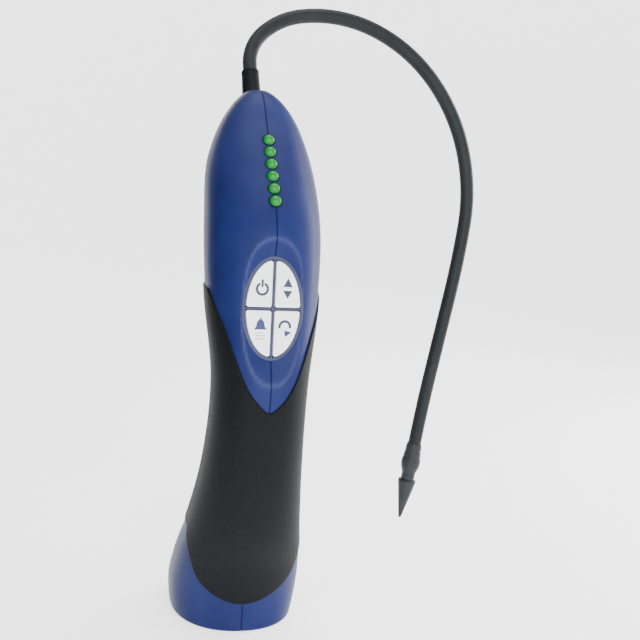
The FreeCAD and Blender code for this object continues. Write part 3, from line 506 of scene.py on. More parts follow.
def smooth_rows(table, step=0.1):
    """Walks a smooth curve through the rows of a table. Returns lengths and dense rows."""
    gaps = np.linalg.norm(np.diff(table, axis=0), axis=1)
    at = np.concatenate(([0.0], np.cumsum(gaps)))
    slopes = np.diff(table, axis=0) / gaps[:, None]
    tangents = np.empty_like(table)
    before, after = gaps[:-1, None], gaps[1:, None]
    tangents[1:-1] = (after * slopes[:-1] + before * slopes[1:]) / (before + after)
    tangents[0] = 2 * slopes[0] - tangents[1]
    tangents[-1] = 2 * slopes[-1] - tangents[-2]
    walk = np.linspace(0, at[-1], int(at[-1] / step) + 1)
    k = np.clip(np.searchsorted(at, walk, side="right") - 1, 0, len(gaps) - 1)
    h, u = gaps[k][:, None], ((walk - at[k]) / gaps[k])[:, None]
    rows = (table[k] * (1 - 3 * u**2 + 2 * u**3) + table[k + 1] * (3 * u**2 - 2 * u**3)
            + tangents[k] * h * (u - 2 * u**2 + u**3) + tangents[k + 1] * h * (u**3 - u**2))
    return walk, rows


WALK, DENSE = smooth_rows(SECTIONS)
LENGTH = WALK[-1]


def walk_at(height):
    """How far along the curve the section of a given height lies."""
    return np.interp(height, DENSE[:, 0], WALK)


print("curve length", round(float(LENGTH), 1), "mm; waist at", round(float(walk_at(115.0)), 1))

# %% [markdown]
# A half section runs from the seam in front (share 0) round one side to the seam behind
# (share 1). Its points come from the rule for a rounded oval and are then spaced evenly
# along its edge, so that the mesh has no long thin faces.

# %% Points on half a section
ANGLES = np.linspace(-math.pi / 2, math.pi / 2, 361)


def half_section(along, grow=0.0):
    """Dense points of the right half's edge, and how far along it each one is."""
    z, half, centre, front, back = (np.interp(along, WALK, DENSE[:, i]) for i in range(5))
    roundness = np.where(ANGLES > 0, 2.6, 2.2)
    depth = np.where(ANGLES > 0, back, front) + grow
    x = (half + grow) * np.abs(np.cos(ANGLES)) ** (2 / roundness)
    y = centre + depth * np.sign(ANGLES) * np.abs(np.sin(ANGLES)) ** (2 / roundness)
    x[0] = x[-1] = 0.0
    steps = np.hypot(np.diff(x), np.diff(y))
    return x, y, z, np.concatenate(([0.0], np.cumsum(steps)))


SEAM_STEPS = np.array([0.0, 0.09, 0.18, 0.27, 0.38, 0.55, 0.9, 1.5])
EVEN = 76


def section_points(along, grow=0.0):
    """Evenly spaced points from the front seam to the back seam, close together at both."""
    x, y, z, run = half_section(along, grow)
    total = run[-1]
    near = SEAM_STEPS * min(1.0, total / 8)
    stops = np.concatenate((near, np.linspace(near[-1], total - near[-1], EVEN)[1:-1],
                            (total - near)[::-1]))
    from_seam = np.minimum(stops, total - stops)
    return np.column_stack((np.interp(stops, run, x), np.interp(stops, run, y),
                            np.full(len(stops), float(z)))), from_seam


sample, _ = section_points(walk_at(150.0))
print("points on a half section", len(sample), "widest", round(float(sample[:, 0].max()), 2), "mm")

# %% [markdown]
# ### The scooped edge round the keys
#
# The keys sit in an oval that is sunk in the bulge of the head. A cutter shaped like a
# shallow dish, three across for each one up, removes the plastic in front of it, which
# leaves the crescent above the keys and the pointed tongue below them. On a grid this
# needs no Boolean: a point in front of the dish is pushed back to it, and a smooth
# minimum rounds the edge between the two.

# %% Keypad plane and dish
KEY_PLACE = np.array((0.0, -42.834, 148.8))
KEY_NORMAL = np.array((0.0, -0.99178, 0.12796))
KEY_UP = np.array((0.0, 0.12796, 0.99178))
KEY_HALF, KEY_TALL, RIM = 10.9, 19.15, 1.6
DISH_A, DISH_B = KEY_HALF + RIM, KEY_TALL + RIM
DISH_SUNK, DISH_SLOPE = 0.6, 3.0


def beyond_oval(u, v, a, b):
    """How much an oval of half sizes a and b must grow to reach the point (u, v)."""
    low, high = np.full(u.shape, -min(a, b) + 0.5), np.full(u.shape, 90.0)
    for _ in range(40):
        middle = (low + high) / 2
        outside = (u / (a + middle)) ** 2 + (v / (b + middle)) ** 2 > 1
        low, high = np.where(outside, middle, low), np.where(outside, high, middle)
    return (low + high) / 2


def smooth_least(a, b, blend):
    share = np.clip(0.5 + (b - a) / (2 * blend), 0, 1)
    return b * (1 - share) + a * share - blend * share * (1 - share)


def press_dish(points, blend=0.25):
    """Pushes points back to the dish. Returns them, their growth and a mask of its edge."""
    offset = points - KEY_PLACE
    u, v, w = offset[:, 0], offset @ KEY_UP, offset @ KEY_NORMAL
    growth = beyond_oval(u, v, DISH_A, DISH_B)
    front = w > -25
    dish = np.where(front, -DISH_SUNK + growth / DISH_SLOPE, 1e3)
    lowered = np.where(front, smooth_least(w, dish, blend), w)
    # This mask of the dish's rim later paints a highlight along it in the case's finish.
    edge = np.where(front, np.exp(-((w - dish) / 0.42) ** 2), 0.0)
    return points + np.outer(lowered - w, KEY_NORMAL), growth, edge


# %% [markdown]
# ### Two halves of the case
#
# Rows of points from foot to crown make a grid. The foot gets a small rounded edge, the
# seam a shallow groove, the back five slots that let the buzzer be heard, and the crown
# closes on a point. Under the keys the grid ends on an exact oval: points a little
# inside it are moved onto it, and the faces within go.

# %% Build the grid of one half
def grid_faces(rows, columns):
    return [(a, a + 1, a + columns + 1, a + columns)
            for r in range(rows - 1) for a in range(r * columns, (r + 1) * columns - 1)]


def mesh_piece(name, points, faces, finish, smooth=True, masks=None):
    """A mesh object in metres from points in millimetres."""
    mesh = bpy.data.meshes.new(name)
    mesh.from_pydata([tuple(p) for p in np.asarray(points, float) * MM], [], faces)
    mesh.validate()
    mesh.polygons.foreach_set("use_smooth", [smooth] * len(mesh.polygons))
    for key, values in (masks or {}).items():
        layer = mesh.attributes.new(key, "FLOAT", "POINT")
        layer.data.foreach_set("value", np.asarray(values, np.float32))
    piece = bpy.data.objects.new(name, mesh)
    bpy.context.scene.collection.objects.link(piece)
    wear(piece, finish)
    return piece


SLOT_HEIGHTS = [167.65 + 3.0 * k for k in (-2, -1, 0, 1, 2)]   # sound slots at the back
SLOT_HALVES = [4.6, 5.3, 6.0, 5.3, 4.6]
SLOT_SUNK = 1.5


def slot_depth(points):
    """How far each point of a level row is pressed in by a sound slot, in millimetres."""
    depth = np.zeros(len(points))
    for height, half in zip(SLOT_HEIGHTS, SLOT_HALVES):
        if abs(points[0, 2] - height) < 0.65:
            ends = np.clip((half + 0.5 - np.abs(points[:, 0])) / 0.6, 0, 1)
            depth = np.where(points[:, 1] > 0, SLOT_SUNK * ends, 0.0)
    return depth


def row_walks():
    """Where the rows lie along the curve: closer together at the keys and the crown."""
    foot = np.array([0.0, 0.12, 0.3, 0.55, 0.9, 1.4])
    handle = np.arange(2.4, walk_at(124.0), 1.5)
    head = np.arange(walk_at(124.0), walk_at(176.0), 0.75)
    crown = np.arange(head[-1] + 0.9, LENGTH, 0.9)
    slots = [walk_at(z + edge) for z in SLOT_HEIGHTS for edge in (-0.7, -0.6, 0.6, 0.7)]
    return np.unique(np.concatenate((foot, handle, head, crown, slots, [LENGTH])))


FOOT_INSET = 1.3


def foot_inset(height, radius=FOOT_INSET):
    return np.where(height < radius, radius - np.sqrt(np.maximum(radius**2 - (radius - height) ** 2, 0)), 0)


def half_skin(side):
    """Points, growth beyond the key oval and masks of one half; side is +1 or -1 along X."""
    rows, growths, edges, grooves = [], [], [], []
    for along in row_walks():
        height = float(np.interp(along, WALK, DENSE[:, 0]))
        points, from_seam = section_points(along, -float(foot_inset(height)))
        dent = 0.34 * np.clip(1 - from_seam / 0.36, 0, 1) ** 0.8
        inner = section_points(along, -1.0)[0] - section_points(along, 0.0)[0]
        inner /= np.maximum(np.linalg.norm(inner, axis=1), 1e-6)[:, None]
        inner[:, 0] = 0.0
        slot = slot_depth(points)
        points, growth, edge = press_dish(points)
        points[:, 1] -= slot
        points = points + inner * dent[:, None]
        points[:, 0] = np.maximum(points[:, 0], 0.02)
        rows.append(points)
        growths.append(growth)
        # Only the front keeps the rim's mask, which paints a highlight along the scoop.
        edges.append(edge * (points[:, 1] < -20))
        # The mask "groove" marks the seam and the sound slots, where shade is painted in.
        grooves.append(np.maximum(np.clip(1 - from_seam / 0.3, 0, 1), np.clip(slot, 0, 1)))
    crown = np.array([[0.02, 12.9, 232.05]] * len(rows[0]))
    rows.append(crown)
    for values in (growths, edges, grooves):
        values.append(values[-1] * 0)
    growths[-1] += 99
    points = np.vstack(rows)
    points[:, 0] *= side
    return points, np.concatenate(growths), np.concatenate(edges), np.concatenate(grooves), len(rows)


def cut_faces(faces, inside):
    """Drops the faces that lie wholly inside. Returns the rest and the inner points they still use."""
    faces = [f for f in faces if not all(inside[i] for i in f)]
    used = np.zeros(len(inside), bool)
    used[[i for f in faces for i in f]] = True
    return faces, np.nonzero(inside & used)[0]


def open_oval(points, growth, faces, front):
    """Ends the grid on the oval 0.7 mm inside the bezel's outer edge."""
    level = -0.7
    faces, border = cut_faces(faces, (growth < level) & front)
    for i in border:
        offset = points[i] - KEY_PLACE
        u, v = offset[0], offset @ KEY_UP
        share = ((u / (DISH_A + level)) ** 2 + (v / (DISH_B + level)) ** 2) ** -0.5
        points[i] = (KEY_PLACE + np.array((u * share, 0, 0)) + KEY_UP * v * share
                     + KEY_NORMAL * (-DISH_SUNK + level / DISH_SLOPE))
    return points, faces


def open_round(points, faces, y, z, radius, side):
    """Ends the grid on a circle about an axis along X, for a screw's well."""
    offset = points[:, 1:] - (y, z)
    distance = np.hypot(offset[:, 0], offset[:, 1])
    faces, border = cut_faces(faces, (distance < radius) & (points[:, 0] * side > 6))
    for i in border:
        points[i, 1:] = (y, z) + offset[i] * radius / max(distance[i], 1e-6)
    return points, faces


def trim(points, faces, masks):
    """Drops points that no face uses."""
    used = sorted({i for f in faces for i in f})
    index = {old: new for new, old in enumerate(used)}
    return points[used], [tuple(index[i] for i in f) for f in faces], {k: v[used] for k, v in masks.items()}


SCREW_PLACES = ((8.0, 195.73), (14.0, 21.0))
WELL_RADIUS = 3.0
for side, name in ((-1, "housing_left"), (1, "housing_right")):
    points, growth, edge, groove, count = half_skin(side)
    faces = grid_faces(count, len(points) // count)
    if side < 0:
        faces = [f[::-1] for f in faces]
    points, faces = open_oval(points, growth, faces, points[:, 1] < -25)
    if side > 0:
        for y, z in SCREW_PLACES:
            points, faces = open_round(points, faces, y, z, WELL_RADIUS, side)
    points, faces, masks = trim(points, faces, {"edge": edge, "groove": groove})
    skin = mesh_piece(name.replace("housing", "case_skin"), points, faces, "case_blue", masks=masks)
    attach(skin, "case")
    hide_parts(name)
    print(skin.name, len(points), "points", len(faces), "faces")

# %% [markdown]
# ### Walls of the openings
#
# An opening with no wall looks like paper. Each screw's well gets a short tube down to
# its screw, and the foot gets a flat ring round the battery door, with the step that the
# door and its seal sit in.

# %% Screw wells and the foot's underside
def surface_x(y, z):
    """Half width of the case at a place on its side."""
    x, ys, _, _ = half_section(walk_at(z))
    widest = int(np.argmax(x))
    if y < ys[widest]:
        return float(np.interp(y, ys[:widest + 1], x[:widest + 1]))
    return float(np.interp(y, ys[widest:], x[widest:]))


def screw_well(number, y, z, radius=WELL_RADIUS, depth=9.0, around=40):
    points = []
    for layer in range(4):
        for c, s in turns(around):
            py, pz = y + radius * c, z + radius * s
            outer = surface_x(py, pz) - 0.02
            points.append((outer + (depth - outer) * (0, 0.03, 0.5, 1)[layer], py, pz))
    well = mesh_piece(f"screw_well_{number}", points, ring_faces(4, around, inward=True), "case_blue")
    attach(well, "case")
    return well


for number, (y, z) in enumerate(SCREW_PLACES, 1):
    screw_well(number, y, z)

DOOR_Y, DOOR_R, EAR_Y, EAR_R = -7.5, 16.3, 11.0, 4.9
FOOT_Y, HOLE_RADIUS = -4.0, 15.0


def door_edge(angle):
    """Distance from the middle of the foot to the door's opening along a direction."""
    steps = np.arange(4.0, 24.0, 0.02)
    x, y = steps * math.cos(angle), FOOT_Y + steps * math.sin(angle)
    inside = (np.hypot(x, y - DOOR_Y) < DOOR_R) | (np.hypot(x, y - EAR_Y) < EAR_R)
    inside |= (np.abs(x) < EAR_R) & (y > DOOR_Y) & (y < EAR_Y)
    return float(steps[inside][-1])


def foot_plate():
    outline, _ = section_points(0.0, -FOOT_INSET)
    loop = np.vstack((outline, outline[-2:0:-1] * (-1, 1, 1)))
    angles = np.arctan2(loop[:, 1] - FOOT_Y, loop[:, 0])
    edge = np.array([door_edge(a) for a in angles])
    opening = np.column_stack((edge * np.cos(angles), edge * np.sin(angles) + FOOT_Y))
    directions = np.column_stack((loop[:, 0], loop[:, 1] - DOOR_Y))
    directions /= np.linalg.norm(directions, axis=1)[:, None]
    hole = directions * HOLE_RADIUS + (0, DOOR_Y)
    rings = [np.column_stack((loop[:, :2] * (1 - s) + opening * s, np.full(len(loop), 0.0)))
             for s in (0.0, 0.33, 0.66, 0.97)]
    rings += [np.column_stack((opening, np.full(len(loop), h))) for h in (0.12, 2.05)]
    rings += [np.column_stack((hole, np.full(len(loop), h))) for h in (3.05, 3.2, 5.5)]
    faces = ring_faces(len(rings), len(loop), inward=True)
    plate = mesh_piece("foot_plate", np.vstack(rings), faces, "case_blue", smooth=False)
    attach(plate, "case")
    return plate


foot = foot_plate()
print("foot plate", len(foot.data.polygons), "faces")

# %% [markdown]
# ## Grip sleeve
#
# The grip is a rubber sleeve moulded over the handle. It stands 0.7 mm proud. In front
# its upper edge runs up from a pointed tongue below the keys to an ear at each side, and
# its lower edge curves down round the heel. Every column of its grid runs from the lower
# edge to the upper one, and the first and last rows roll in to meet the case.

# %% Edges of the sleeve
UPPER = np.array(((0, 108.0), (4.956, 111.6), (9.912, 118.35), (13.688, 126.9), (18.408, 139.5),
                  (21.948, 148.05), (23.6, 153.0)))
LOWER = np.array(((0, 13.0), (11.02, 15.97), (19.43, 22.57), (24.36, 34.12), (26.1, 46.0)))
PROUD, HEEL, EAR = 0.7, 46.0, 153.0   # how far the sleeve stands out, and its edges' heights behind


def edge_height(curve, x, y, level):
    """Height of the sleeve's edge at a place: the curve in front, level at the back."""
    flipped = np.vstack((curve[::-1] * (-1, 1), curve[1:]))
    _, rows = smooth_rows(flipped, 0.3)
    in_front = np.interp(np.abs(x), rows[:, 0], rows[:, 1])
    in_front = np.where(np.abs(x) > curve[-1, 0], level, in_front)
    share = np.clip((y + 20.0) / 4.0, 0, 1)
    share = share * share * (3 - 2 * share)
    return in_front * (1 - share) + level * share


def edge_walk(curve, level, column, gap):
    """Where along the case the sleeve's edge meets one column of the half section."""
    along = walk_at(level if column > 0.5 else curve[0, 1])
    for _ in range(30):
        x, y, z, run = half_section(along, PROUD)
        stop = column * run[-1]
        px, py = np.interp(stop, run, x), np.interp(stop, run, y)
        target = walk_at(edge_height(curve, px, py, level) + gap)
        along += 0.5 * (target - along)
    return float(along)


ROLL_ROWS = np.array([0.0, 0.05, 0.15, 0.3, 0.5, 0.8, 1.2])
COLUMNS = np.unique(np.concatenate((np.linspace(0, 0.06, 9), np.linspace(0.06, 1.0, 92))))


def roll_in(distance, radius=0.8):
    return PROUD - (1 - np.sqrt(np.maximum(1 - np.clip(1 - distance / radius, 0, 1) ** 2, 0)))


def grip_points():
    table = []
    for column in COLUMNS:
        low = edge_walk(LOWER, HEEL, column, 0.05)
        high = edge_walk(UPPER, EAR, column, -0.05)
        body = np.linspace(low + 1.2, high - 1.2, 84)[1:-1]
        walks = np.concatenate((low + ROLL_ROWS, body, (high - ROLL_ROWS)[::-1]))
        grows = roll_in(np.minimum(walks - low, high - walks))
        line, edge = [], []
        for along, grow in zip(walks, grows):
            x, y, z, run = half_section(along, grow)
            stop = column * run[-1]
            line.append((np.interp(stop, run, x), np.interp(stop, run, y), z))
            edge.append(math.exp(-((min(along - low, high - along) - 0.7) / 0.6) ** 2))
        table.append((line, edge))
    return np.array([line for line, _ in table]), np.array([edge for _, edge in table])


def grip_sleeve():
    half, edge = grip_points()
    left = half[1:-1][::-1] * (-1, 1, 1)
    loop = np.concatenate((half, left))
    masks = np.concatenate((edge, edge[1:-1][::-1]))
    count, rows = len(loop), loop.shape[1]
    faces = []
    for k in range(count):
        for r in range(rows - 1):
            a, b = k * rows + r, ((k + 1) % count) * rows + r
            faces.append((a, b, b + 1, a + 1))
    sleeve = mesh_piece("grip_rubber_sleeve", loop.reshape(-1, 3), faces, "grip_rubber",
                        masks={"edge": masks.reshape(-1)})
    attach(sleeve, "case")
    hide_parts("grip_sleeve")
    return sleeve


sleeve = grip_sleeve()
print("sleeve", len(sleeve.data.vertices), "points, size", [round(c / MM, 1) for c in sleeve.dimensions])

# %% [markdown]
# ## Turned pieces
#
# The boot, the ferrule, the tip and the lamps are all round, so one helper spins a
# profile about an axis. Soft shapes get a smooth curve through their profile, and crisp
# steps are made by two points close together.

# %% A helper that spins a profile
def spin(name, profile, start, axis, finish, around=48, closed_end=True):
    """profile is (distance along the axis, radius) pairs in millimetres."""
    axis = Vector(axis).normalized()
    side = axis.orthogonal().normalized()
    other, points = axis.cross(side), []
    for distance, radius in profile:
        middle = Vector(start) + axis * distance
        points += [middle + (side * c + other * s) * radius for c, s in turns(around)]
    faces = ring_faces(len(profile), around)
    if closed_end:
        faces.append(tuple(range((len(profile) - 1) * around, len(profile) * around)))
    return mesh_piece(name, points, faces, finish)


def soften(profile, step=0.35):
    """The same profile as a smooth curve."""
    return [tuple(row) for row in smooth_rows(np.array(profile, float), step)[1]]


# %% [markdown]
# ## Lamps
#
# Six 5 mm lamps climb the middle of the head. Their CAD solids say where each one stands:
# the row's direction is the way from the first lamp to the last, and a lamp faces across
# it. Each gets a round-topped lens and a thin dark ring, the shadow gap of its hole.

# %% Six lenses
def box_middle(node):
    low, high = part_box(node)
    return (Vector(low) + Vector(high)) / 2 / MM


LAMP_RADIUS = 2.5
row_way = (box_middle("led_6") - box_middle("led_1")).normalized()
lamp_way = Vector((1, 0, 0)).cross(row_way)


def lamp(number):
    node = nodes[f"led_{number}"]
    corners = np.array([tuple(v.co) for v in node.data.vertices]) / MM
    along = corners @ np.array(row_way)
    top = float((corners @ np.array(lamp_way)).max())
    place = row_way * float((along.max() + along.min()) / 2) + lamp_way * top
    arc = [(-LAMP_RADIUS + LAMP_RADIUS * math.sin(a), LAMP_RADIUS * math.cos(a))
           for a in np.linspace(0, math.pi / 2 - 0.02, 14)]
    lens = spin(f"lamp_lens_{number}", [(-5.5, LAMP_RADIUS), (-2.9, LAMP_RADIUS)] + arc, place, lamp_way,
                "lamp_green")
    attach(lens, "case")
    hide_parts(f"led_{number}")
    gap = [(-3.4, 2.52), (-1.98, 2.53), (-1.90, 2.58), (-1.90, 2.74), (-1.98, 2.80), (-3.4, 2.84)]
    ring = spin(f"lamp_gap_{number}", gap, place, lamp_way, "gap_dark", closed_end=False)
    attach(ring, "case")
    return place


lamp_places = [lamp(n) for n in range(1, 7)]
print("lamp pitch", round((lamp_places[1] - lamp_places[0]).length, 2), "mm")

# %% [markdown]
# ## Keys
#
# Each key is a quarter of an oval with rounded corners and a soft top edge. Its outline
# is walked once: two straight sides, the oval's arc, and a small arc at each corner. The
# same outline, drawn in and raised a little at each step, makes the rolled edge and the
# slightly crowned top.

# %% Keypad plane helpers
KEY_SIDE = np.array((1.0, 0.0, 0.0))


def on_keypad(flat):
    """Points given as across, up and out of the keypad's face, in the object's frame."""
    flat = np.asarray(flat, float)
    return KEY_PLACE + np.outer(flat[:, 0], KEY_SIDE) + np.outer(flat[:, 1], KEY_UP) \
        + np.outer(flat[:, 2], KEY_NORMAL)


def crown(x, y):
    return 0.16 * (1 - (x / 12.0) ** 2 - (y / 21.0) ** 2)


def key_outline(inner=0.7, corner=0.9):
    """Outline and outward directions of the upper right key, anticlockwise."""
    t = np.linspace(0.0, math.pi / 2, 241)
    ex, ey = KEY_HALF * np.cos(t), KEY_TALL * np.sin(t)
    nx, ny = np.cos(t) / KEY_HALF, np.sin(t) / KEY_TALL
    size = np.hypot(nx, ny)
    nx, ny = nx / size, ny / size
    sx, sy, low = ex - corner * nx, ey - corner * ny, inner + corner
    keep = (sx > low) & (sy > low)
    angles = np.arctan2(ny[keep], nx[keep])
    centres = [(sx[keep][0], low), (low, sy[keep][-1]), (low, low)]
    turns = [(-math.pi / 2, angles[0]), (angles[-1], math.pi), (math.pi, 1.5 * math.pi)]
    path, ways = [], []

    def add_corner(k):
        for a in np.linspace(*turns[k], 9):
            ways.append((math.cos(a), math.sin(a)))
            path.append((centres[k][0] + corner * ways[-1][0], centres[k][1] + corner * ways[-1][1]))

    add_corner(0)
    for x, y, a, b in list(zip(ex[keep], ey[keep], nx[keep], ny[keep]))[3:-3:5]:
        path.append((x, y))
        ways.append((a, b))
    add_corner(1)
    add_corner(2)
    return np.array(path), np.array(ways)


PATH, WAYS = key_outline()
KEY_LAYERS = ((0.0, -2.5), (0.0, -0.42), (0.05, -0.24), (0.16, -0.1), (0.34, -0.02), (0.6, 0.0))


def key_cap(name, body, side, level):
    rings = []
    for inset, height in KEY_LAYERS:
        line = PATH - WAYS * inset
        rings.append(np.column_stack((line, crown(*line.T) + height)))
    centre = rings[-1][:, :2].mean(axis=0)
    for share in (0.8, 0.55, 0.3, 0.08):
        line = centre + (rings[5][:, :2] - centre) * share
        rings.append(np.column_stack((line, crown(*line.T))))
    count = len(PATH)
    faces = ring_faces(len(rings), count)
    faces.append(tuple(range((len(rings) - 1) * count, len(rings) * count)))
    flat = np.vstack(rings) * (side, level, 1)
    if side * level < 0:
        faces = [f[::-1] for f in faces]
    cap = mesh_piece("cap_" + name, on_keypad(flat), faces, "key_white")
    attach(cap, body)
    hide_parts("key_" + name)
    return cap


KEY_BODIES = {"power": ("power_key", -1, 1), "sensitivity": ("sensitivity_key", 1, 1),
              "alarm": ("alarm_key", -1, -1), "reset": ("reset_key", 1, -1)}
for name, (body, side, level) in KEY_BODIES.items():
    key_cap(name, body, side, level)
print("keys", len(KEY_BODIES), "outline points", len(PATH))

# %% [markdown]
# ### Legends
#
# The legends are the common signs for such keys: a power ring with a stroke, a triangle
# up and one down for sensitivity, a bell with sound waves for the alarm, and an arrow
# that curls back for reset. They are thin meshes that lie on the crowned tops, so they
# stay crisp at any distance and move with their keys.

# %% Draw the legends
def legend(name, body, strips, finish):
    """strips are lists of (left edge, right edge) point pairs, in keypad millimetres."""
    points, faces = [], []
    for strip in strips:
        for a, b in strip:
            for p in (a, b):
                points.append((p[0], p[1], float(crown(p[0], p[1])) + 0.025))
        first = len(points) - 2 * len(strip)
        for k in range(len(strip) - 1):
            i = first + 2 * k
            faces.append((i, i + 1, i + 3, i + 2))
    piece = mesh_piece("legend_" + name, on_keypad(points), faces, finish)
    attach(piece, body)
    return piece


def band(centre, radius, stroke, start, end, squash=1.0, steps=40):
    """A curved stroke, as edge pairs, from one angle to another in degrees."""
    pairs = []
    for a in np.radians(np.linspace(start, end, steps)):
        way = np.array((math.cos(a), math.sin(a) * squash))
        pairs.append([np.array(centre) + way * (radius + reach) for reach in (-stroke / 2, stroke / 2)])
    return pairs


def shape(left_to_right):
    """A filled sign from rows of (height, left, right)."""
    return [((left, y), (right, y)) for y, left, right in left_to_right]


legend("power", "power_key", [
    band((-4.8, 7.8), 2.2, 1.02, 114, 426),
    shape([(8.5, -5.3, -4.3), (11.5, -5.3, -4.3)]),
], "legend_slate")
legend("sensitivity", "sensitivity_key", [
    shape([(8.8, 3.6, 7.45), (12.3, 5.5, 5.55)]),
    shape([(7.35, 3.6, 7.45), (4.2, 5.5, 5.55)]),
], "legend_slate")
BELL_X = -4.95
BELL = ((-3.3, 0.08), (-3.75, 0.32), (-4.2, 0.42), (-4.5, 0.95), (-5.1, 1.35), (-6.2, 1.62), (-7.1, 1.85),
        (-7.7, 2.25), (-8.2, 2.7))
legend("bell", "alarm_key", [shape([(y, BELL_X - w, BELL_X + w) for y, w in BELL])], "legend_blue")
legend("waves", "alarm_key", [
    band((BELL_X, -8.3), r, 0.36, 270 - spread, 270 + spread, 0.85)
    for r, spread in ((1.55, 42), (2.85, 38), (4.3, 27))
], "legend_wave")
legend("arrow", "reset_key", [band((4.9, -6.9), 2.15, 1.02, 196, -14)], "legend_slate")
legend("arrow_head", "reset_key", [[((4.75, -8.3), (7.75, -9.05)), ((5.2, -11.0), (5.25, -11.05))]],
       "legend_blue")
print("legends drawn")

# %% [markdown]
# ### Bezel
#
# The keys sit in a moulded frame: an oval rim with a rounded top and a narrow cross that
# parts the four keys. The rim is a section swept round the oval, and each bar of the
# cross is a little loft with softened shoulders.

# %% Rim and cross
def bezel():
    points, faces = [], []
    around = 120
    # how far out from the keys' oval, and how high, each line of the rim runs
    section = ((0.25, -2.5), (0.25, -0.75), (0.33, -0.64), (0.5, -0.6), (1.3, -0.6), (1.52, -0.68),
               (1.6, -0.9), (1.6, -2.5))
    for c, s in turns(around):
        points += [((KEY_HALF + out) * c, (KEY_TALL + out) * s, height) for out, height in section]
    lines = len(section)
    for k in range(around):
        for j in range(lines - 1):
            a, b = k * lines + j, ((k + 1) % around) * lines + j
            faces.append((a, a + 1, b + 1, b))
    bar = ((-0.45, -2.5), (-0.45, -0.72), (-0.34, -0.62), (0.34, -0.62), (0.45, -0.72), (0.45, -2.5))
    for upright, reach in ((False, KEY_HALF + 0.5), (True, KEY_TALL + 0.5)):
        first = len(points)
        for s in np.linspace(-reach, reach, 9):
            for across, height in bar:
                lift = height if not upright else height + 0.01
                points.append((across, s, lift) if upright else (s, across, lift))
        for r in range(8):
            for j in range(len(bar) - 1):
                a = first + r * len(bar) + j
                quad = (a, a + 1, a + len(bar) + 1, a + len(bar))
                faces.append(quad if upright else quad[::-1])
    piece = mesh_piece("keypad_frame", on_keypad(points), faces, "bezel_grey", smooth=False)
    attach(piece, "case")
    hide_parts("keypad_bezel")
    return piece


print("bezel", [round(c / MM, 1) for c in bezel().dimensions], "mm")

# %% [markdown]
# ## Gooseneck
#
# The gooseneck is a bendable steel core in a tight black sheath, so it shows one smooth
# line. In the CAD it is a chain of links.

# %% Centre line of the gooseneck
LINKS = ((18.0, 49.0, 14.0), (20.0, 80.0, 4.0), (36.0, 111.0, -3.0), (36.0, 138.5, -6.0),
         (36.0, 163.0, -6.0), (36.0, 186.0, -5.5), (36.0, 190.0, -4.5), (36.0, 189.0, -3.0),
         (36.0, 186.0, -1.5))
EXIT = Vector((0.0, 22.5, 223.5))
FIRST_HINGE = 23.0
SHEATH_RADIUS = 3.175
EXIT_TILT = 32.0   # degrees back from upright at the crown


def heading(side, back):
    side, back = math.radians(side), math.radians(back)
    return Vector((math.sin(side) * math.cos(back), math.sin(back), math.cos(side) * math.cos(back)))


def neck_line(step=0.6):
    """Points along the middle of the neck, and the length at which each joint lies."""
    way, place, run = heading(0, EXIT_TILT), EXIT.copy(), 0.0
    line, joints = [(run, place.copy(), way.copy())], []
    for length, side, back in ((FIRST_HINGE, 0, EXIT_TILT),) + LINKS:
        new = heading(side, back)
        turn = way.angle(new)
        axis = way.cross(new).normalized() if turn > 1e-6 else Vector((0, 1, 0))
        count = max(2, round(length / step))
        start = way.copy()
        for k in range(count):
            way = Matrix.Rotation(turn * (k + 0.5) / count, 3, axis) @ start
            place = place + way * (length / count)
            run += length / count
            line.append((run, place.copy(), Matrix.Rotation(turn * (k + 1) / count, 3, axis) @ start))
        way = new
        joints.append(run)
    return line, joints


LINE, JOINTS = neck_line()
print("neck length", round(LINE[-1][0], 1), "mm; ends at", [round(c, 2) for c in LINE[-1][1]])

# %% Lengths of sheath
def sheath(name, start, end, around=36):
    """A length of tube along the centre line, from one distance to another."""
    picked = [(r, p, w) for r, p, w in LINE if start - 1e-6 <= r <= end + 1e-6]
    side, points = Vector((0, 1, 0)), []
    for _, place, way in picked:
        side = (side - way * side.dot(way)).normalized()
        other = way.cross(side)
        points += [place + (side * c + other * s) * SHEATH_RADIUS for c, s in turns(around)]
    tube = mesh_piece(name, points, ring_faces(len(picked), around), "neck_sheath")
    return tube, picked[0][1], picked[-1][1]


def nearest(run):
    return min(LINE, key=lambda row: abs(row[0] - run))[0]


cuts = [19.0] + [(a + b) / 2 for a, b in zip(JOINTS[:-1], JOINTS[1:])]
cuts = [nearest(c) for c in cuts]
root, _, _ = sheath("sheath_root", 0.0, cuts[0])
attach(root, "case")
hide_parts("neck_root")
for k in range(9):
    piece, first, last = sheath(f"sheath_{k + 1}", cuts[k], cuts[k + 1])
    tuple(first * MM)
    tuple(last * MM)
    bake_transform(piece)
    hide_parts(f"neck_link_{k + 1}")
tail, _, _ = sheath("sheath_end", cuts[-1], LINE[-1][0])
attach(tail, "neck_9")
print("sheath lengths", len(cuts) + 1)

# %% [markdown]
# ## Boot, ferrule and tip
#
# A short rubber boot keeps the neck from kinking at the crown. At the other end the
# sheath runs into a moulded ferrule with two fine rings, a bulge to hold it by, and a
# waist, and the sensor hides in a hard cone that pulls off.

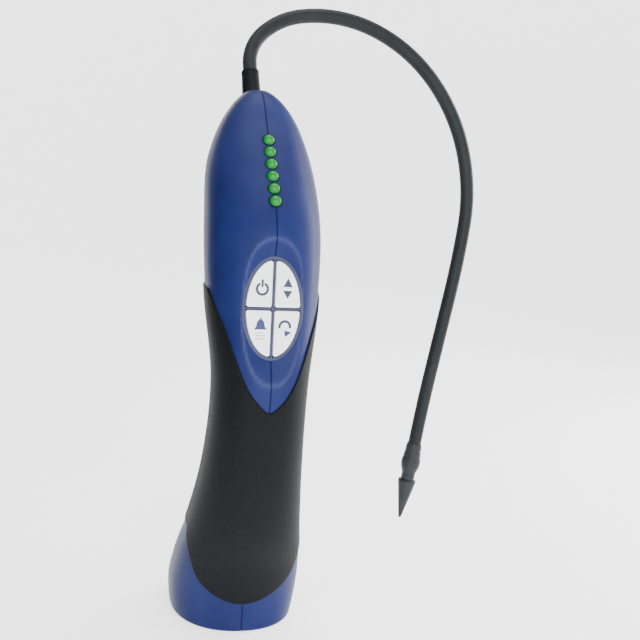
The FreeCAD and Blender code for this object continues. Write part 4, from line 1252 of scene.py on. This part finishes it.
# %% Spin them
NECK_WAY, TIP_WAY = heading(0, EXIT_TILT), heading(*LINKS[-1][1:])
TIP_PLACE = LINE[-1][1]
boot = spin("boot", [(-5.5, 4.3), (0.6, 4.3)]
            + soften(((0.8, 4.3), (6.0, 4.16), (12.0, 3.98), (17.6, 3.84)), 1.2)
            + [(17.8, 3.9), (18.2, 3.96), (18.7, 3.88), (18.9, 3.72), (19.0, 3.5), (18.9, 3.2)],
            EXIT, NECK_WAY, "boot_rubber", closed_end=False)
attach(boot, "case")
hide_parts("neck_boot")


def ringed(profile, places, depth=0.16, width=0.35):
    """Adds fine grooves to a smooth profile."""
    return [(d, r - depth * sum(math.exp(-((d - p) / width) ** 2) for p in places)) for d, r in profile]


ferrule_line = soften(((0.0, 3.32), (0.5, 3.6), (1.4, 3.78), (3.0, 3.92), (5.2, 4.1), (7.2, 4.36),
                       (9.2, 4.68), (11.2, 4.62), (13.0, 4.2), (14.4, 3.66), (15.6, 3.36), (17.2, 3.34),
                       (18.75, 3.35)), 0.18)
ferrule = spin("ferrule", [(-0.05, 3.18)] + ringed(ferrule_line, (3.7, 7.0))
               + [(18.8, 3.3), (18.8, 2.4), (24.6, 2.4), (24.85, 2.2), (24.85, 1.56), (20.0, 1.56)],
               TIP_PLACE, TIP_WAY, "tip_plastic", closed_end=False)
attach(ferrule, "neck_9")
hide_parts("tip_ferrule")
FERRULE_LENGTH, CONE_LENGTH = 18.9, 20.2
cone_start = TIP_PLACE + TIP_WAY * FERRULE_LENGTH
cone = spin("sensor_cone", [(0.02, 2.48), (0.02, 3.7), (0.1, 3.95), (0.3, 4.28), (0.55, 4.41), (0.9, 4.45),
                            (1.25, 4.42)]
            + [(1.25 + 18.3 * s, 4.42 - 3.66 * s) for s in np.linspace(0.04, 1.0, 24)]
            + [(19.85, 0.68), (20.1, 0.5), (CONE_LENGTH, 0.36), (19.0, 0.34), (14.0, 0.4), (9.0, 1.6),
               (6.6, 2.46), (0.3, 2.46)],
            cone_start, TIP_WAY, "tip_plastic", closed_end=False)
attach(cone, "tip")
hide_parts("tip_cone")
print("tip at", [round(c, 1) for c in cone_start + TIP_WAY * CONE_LENGTH])
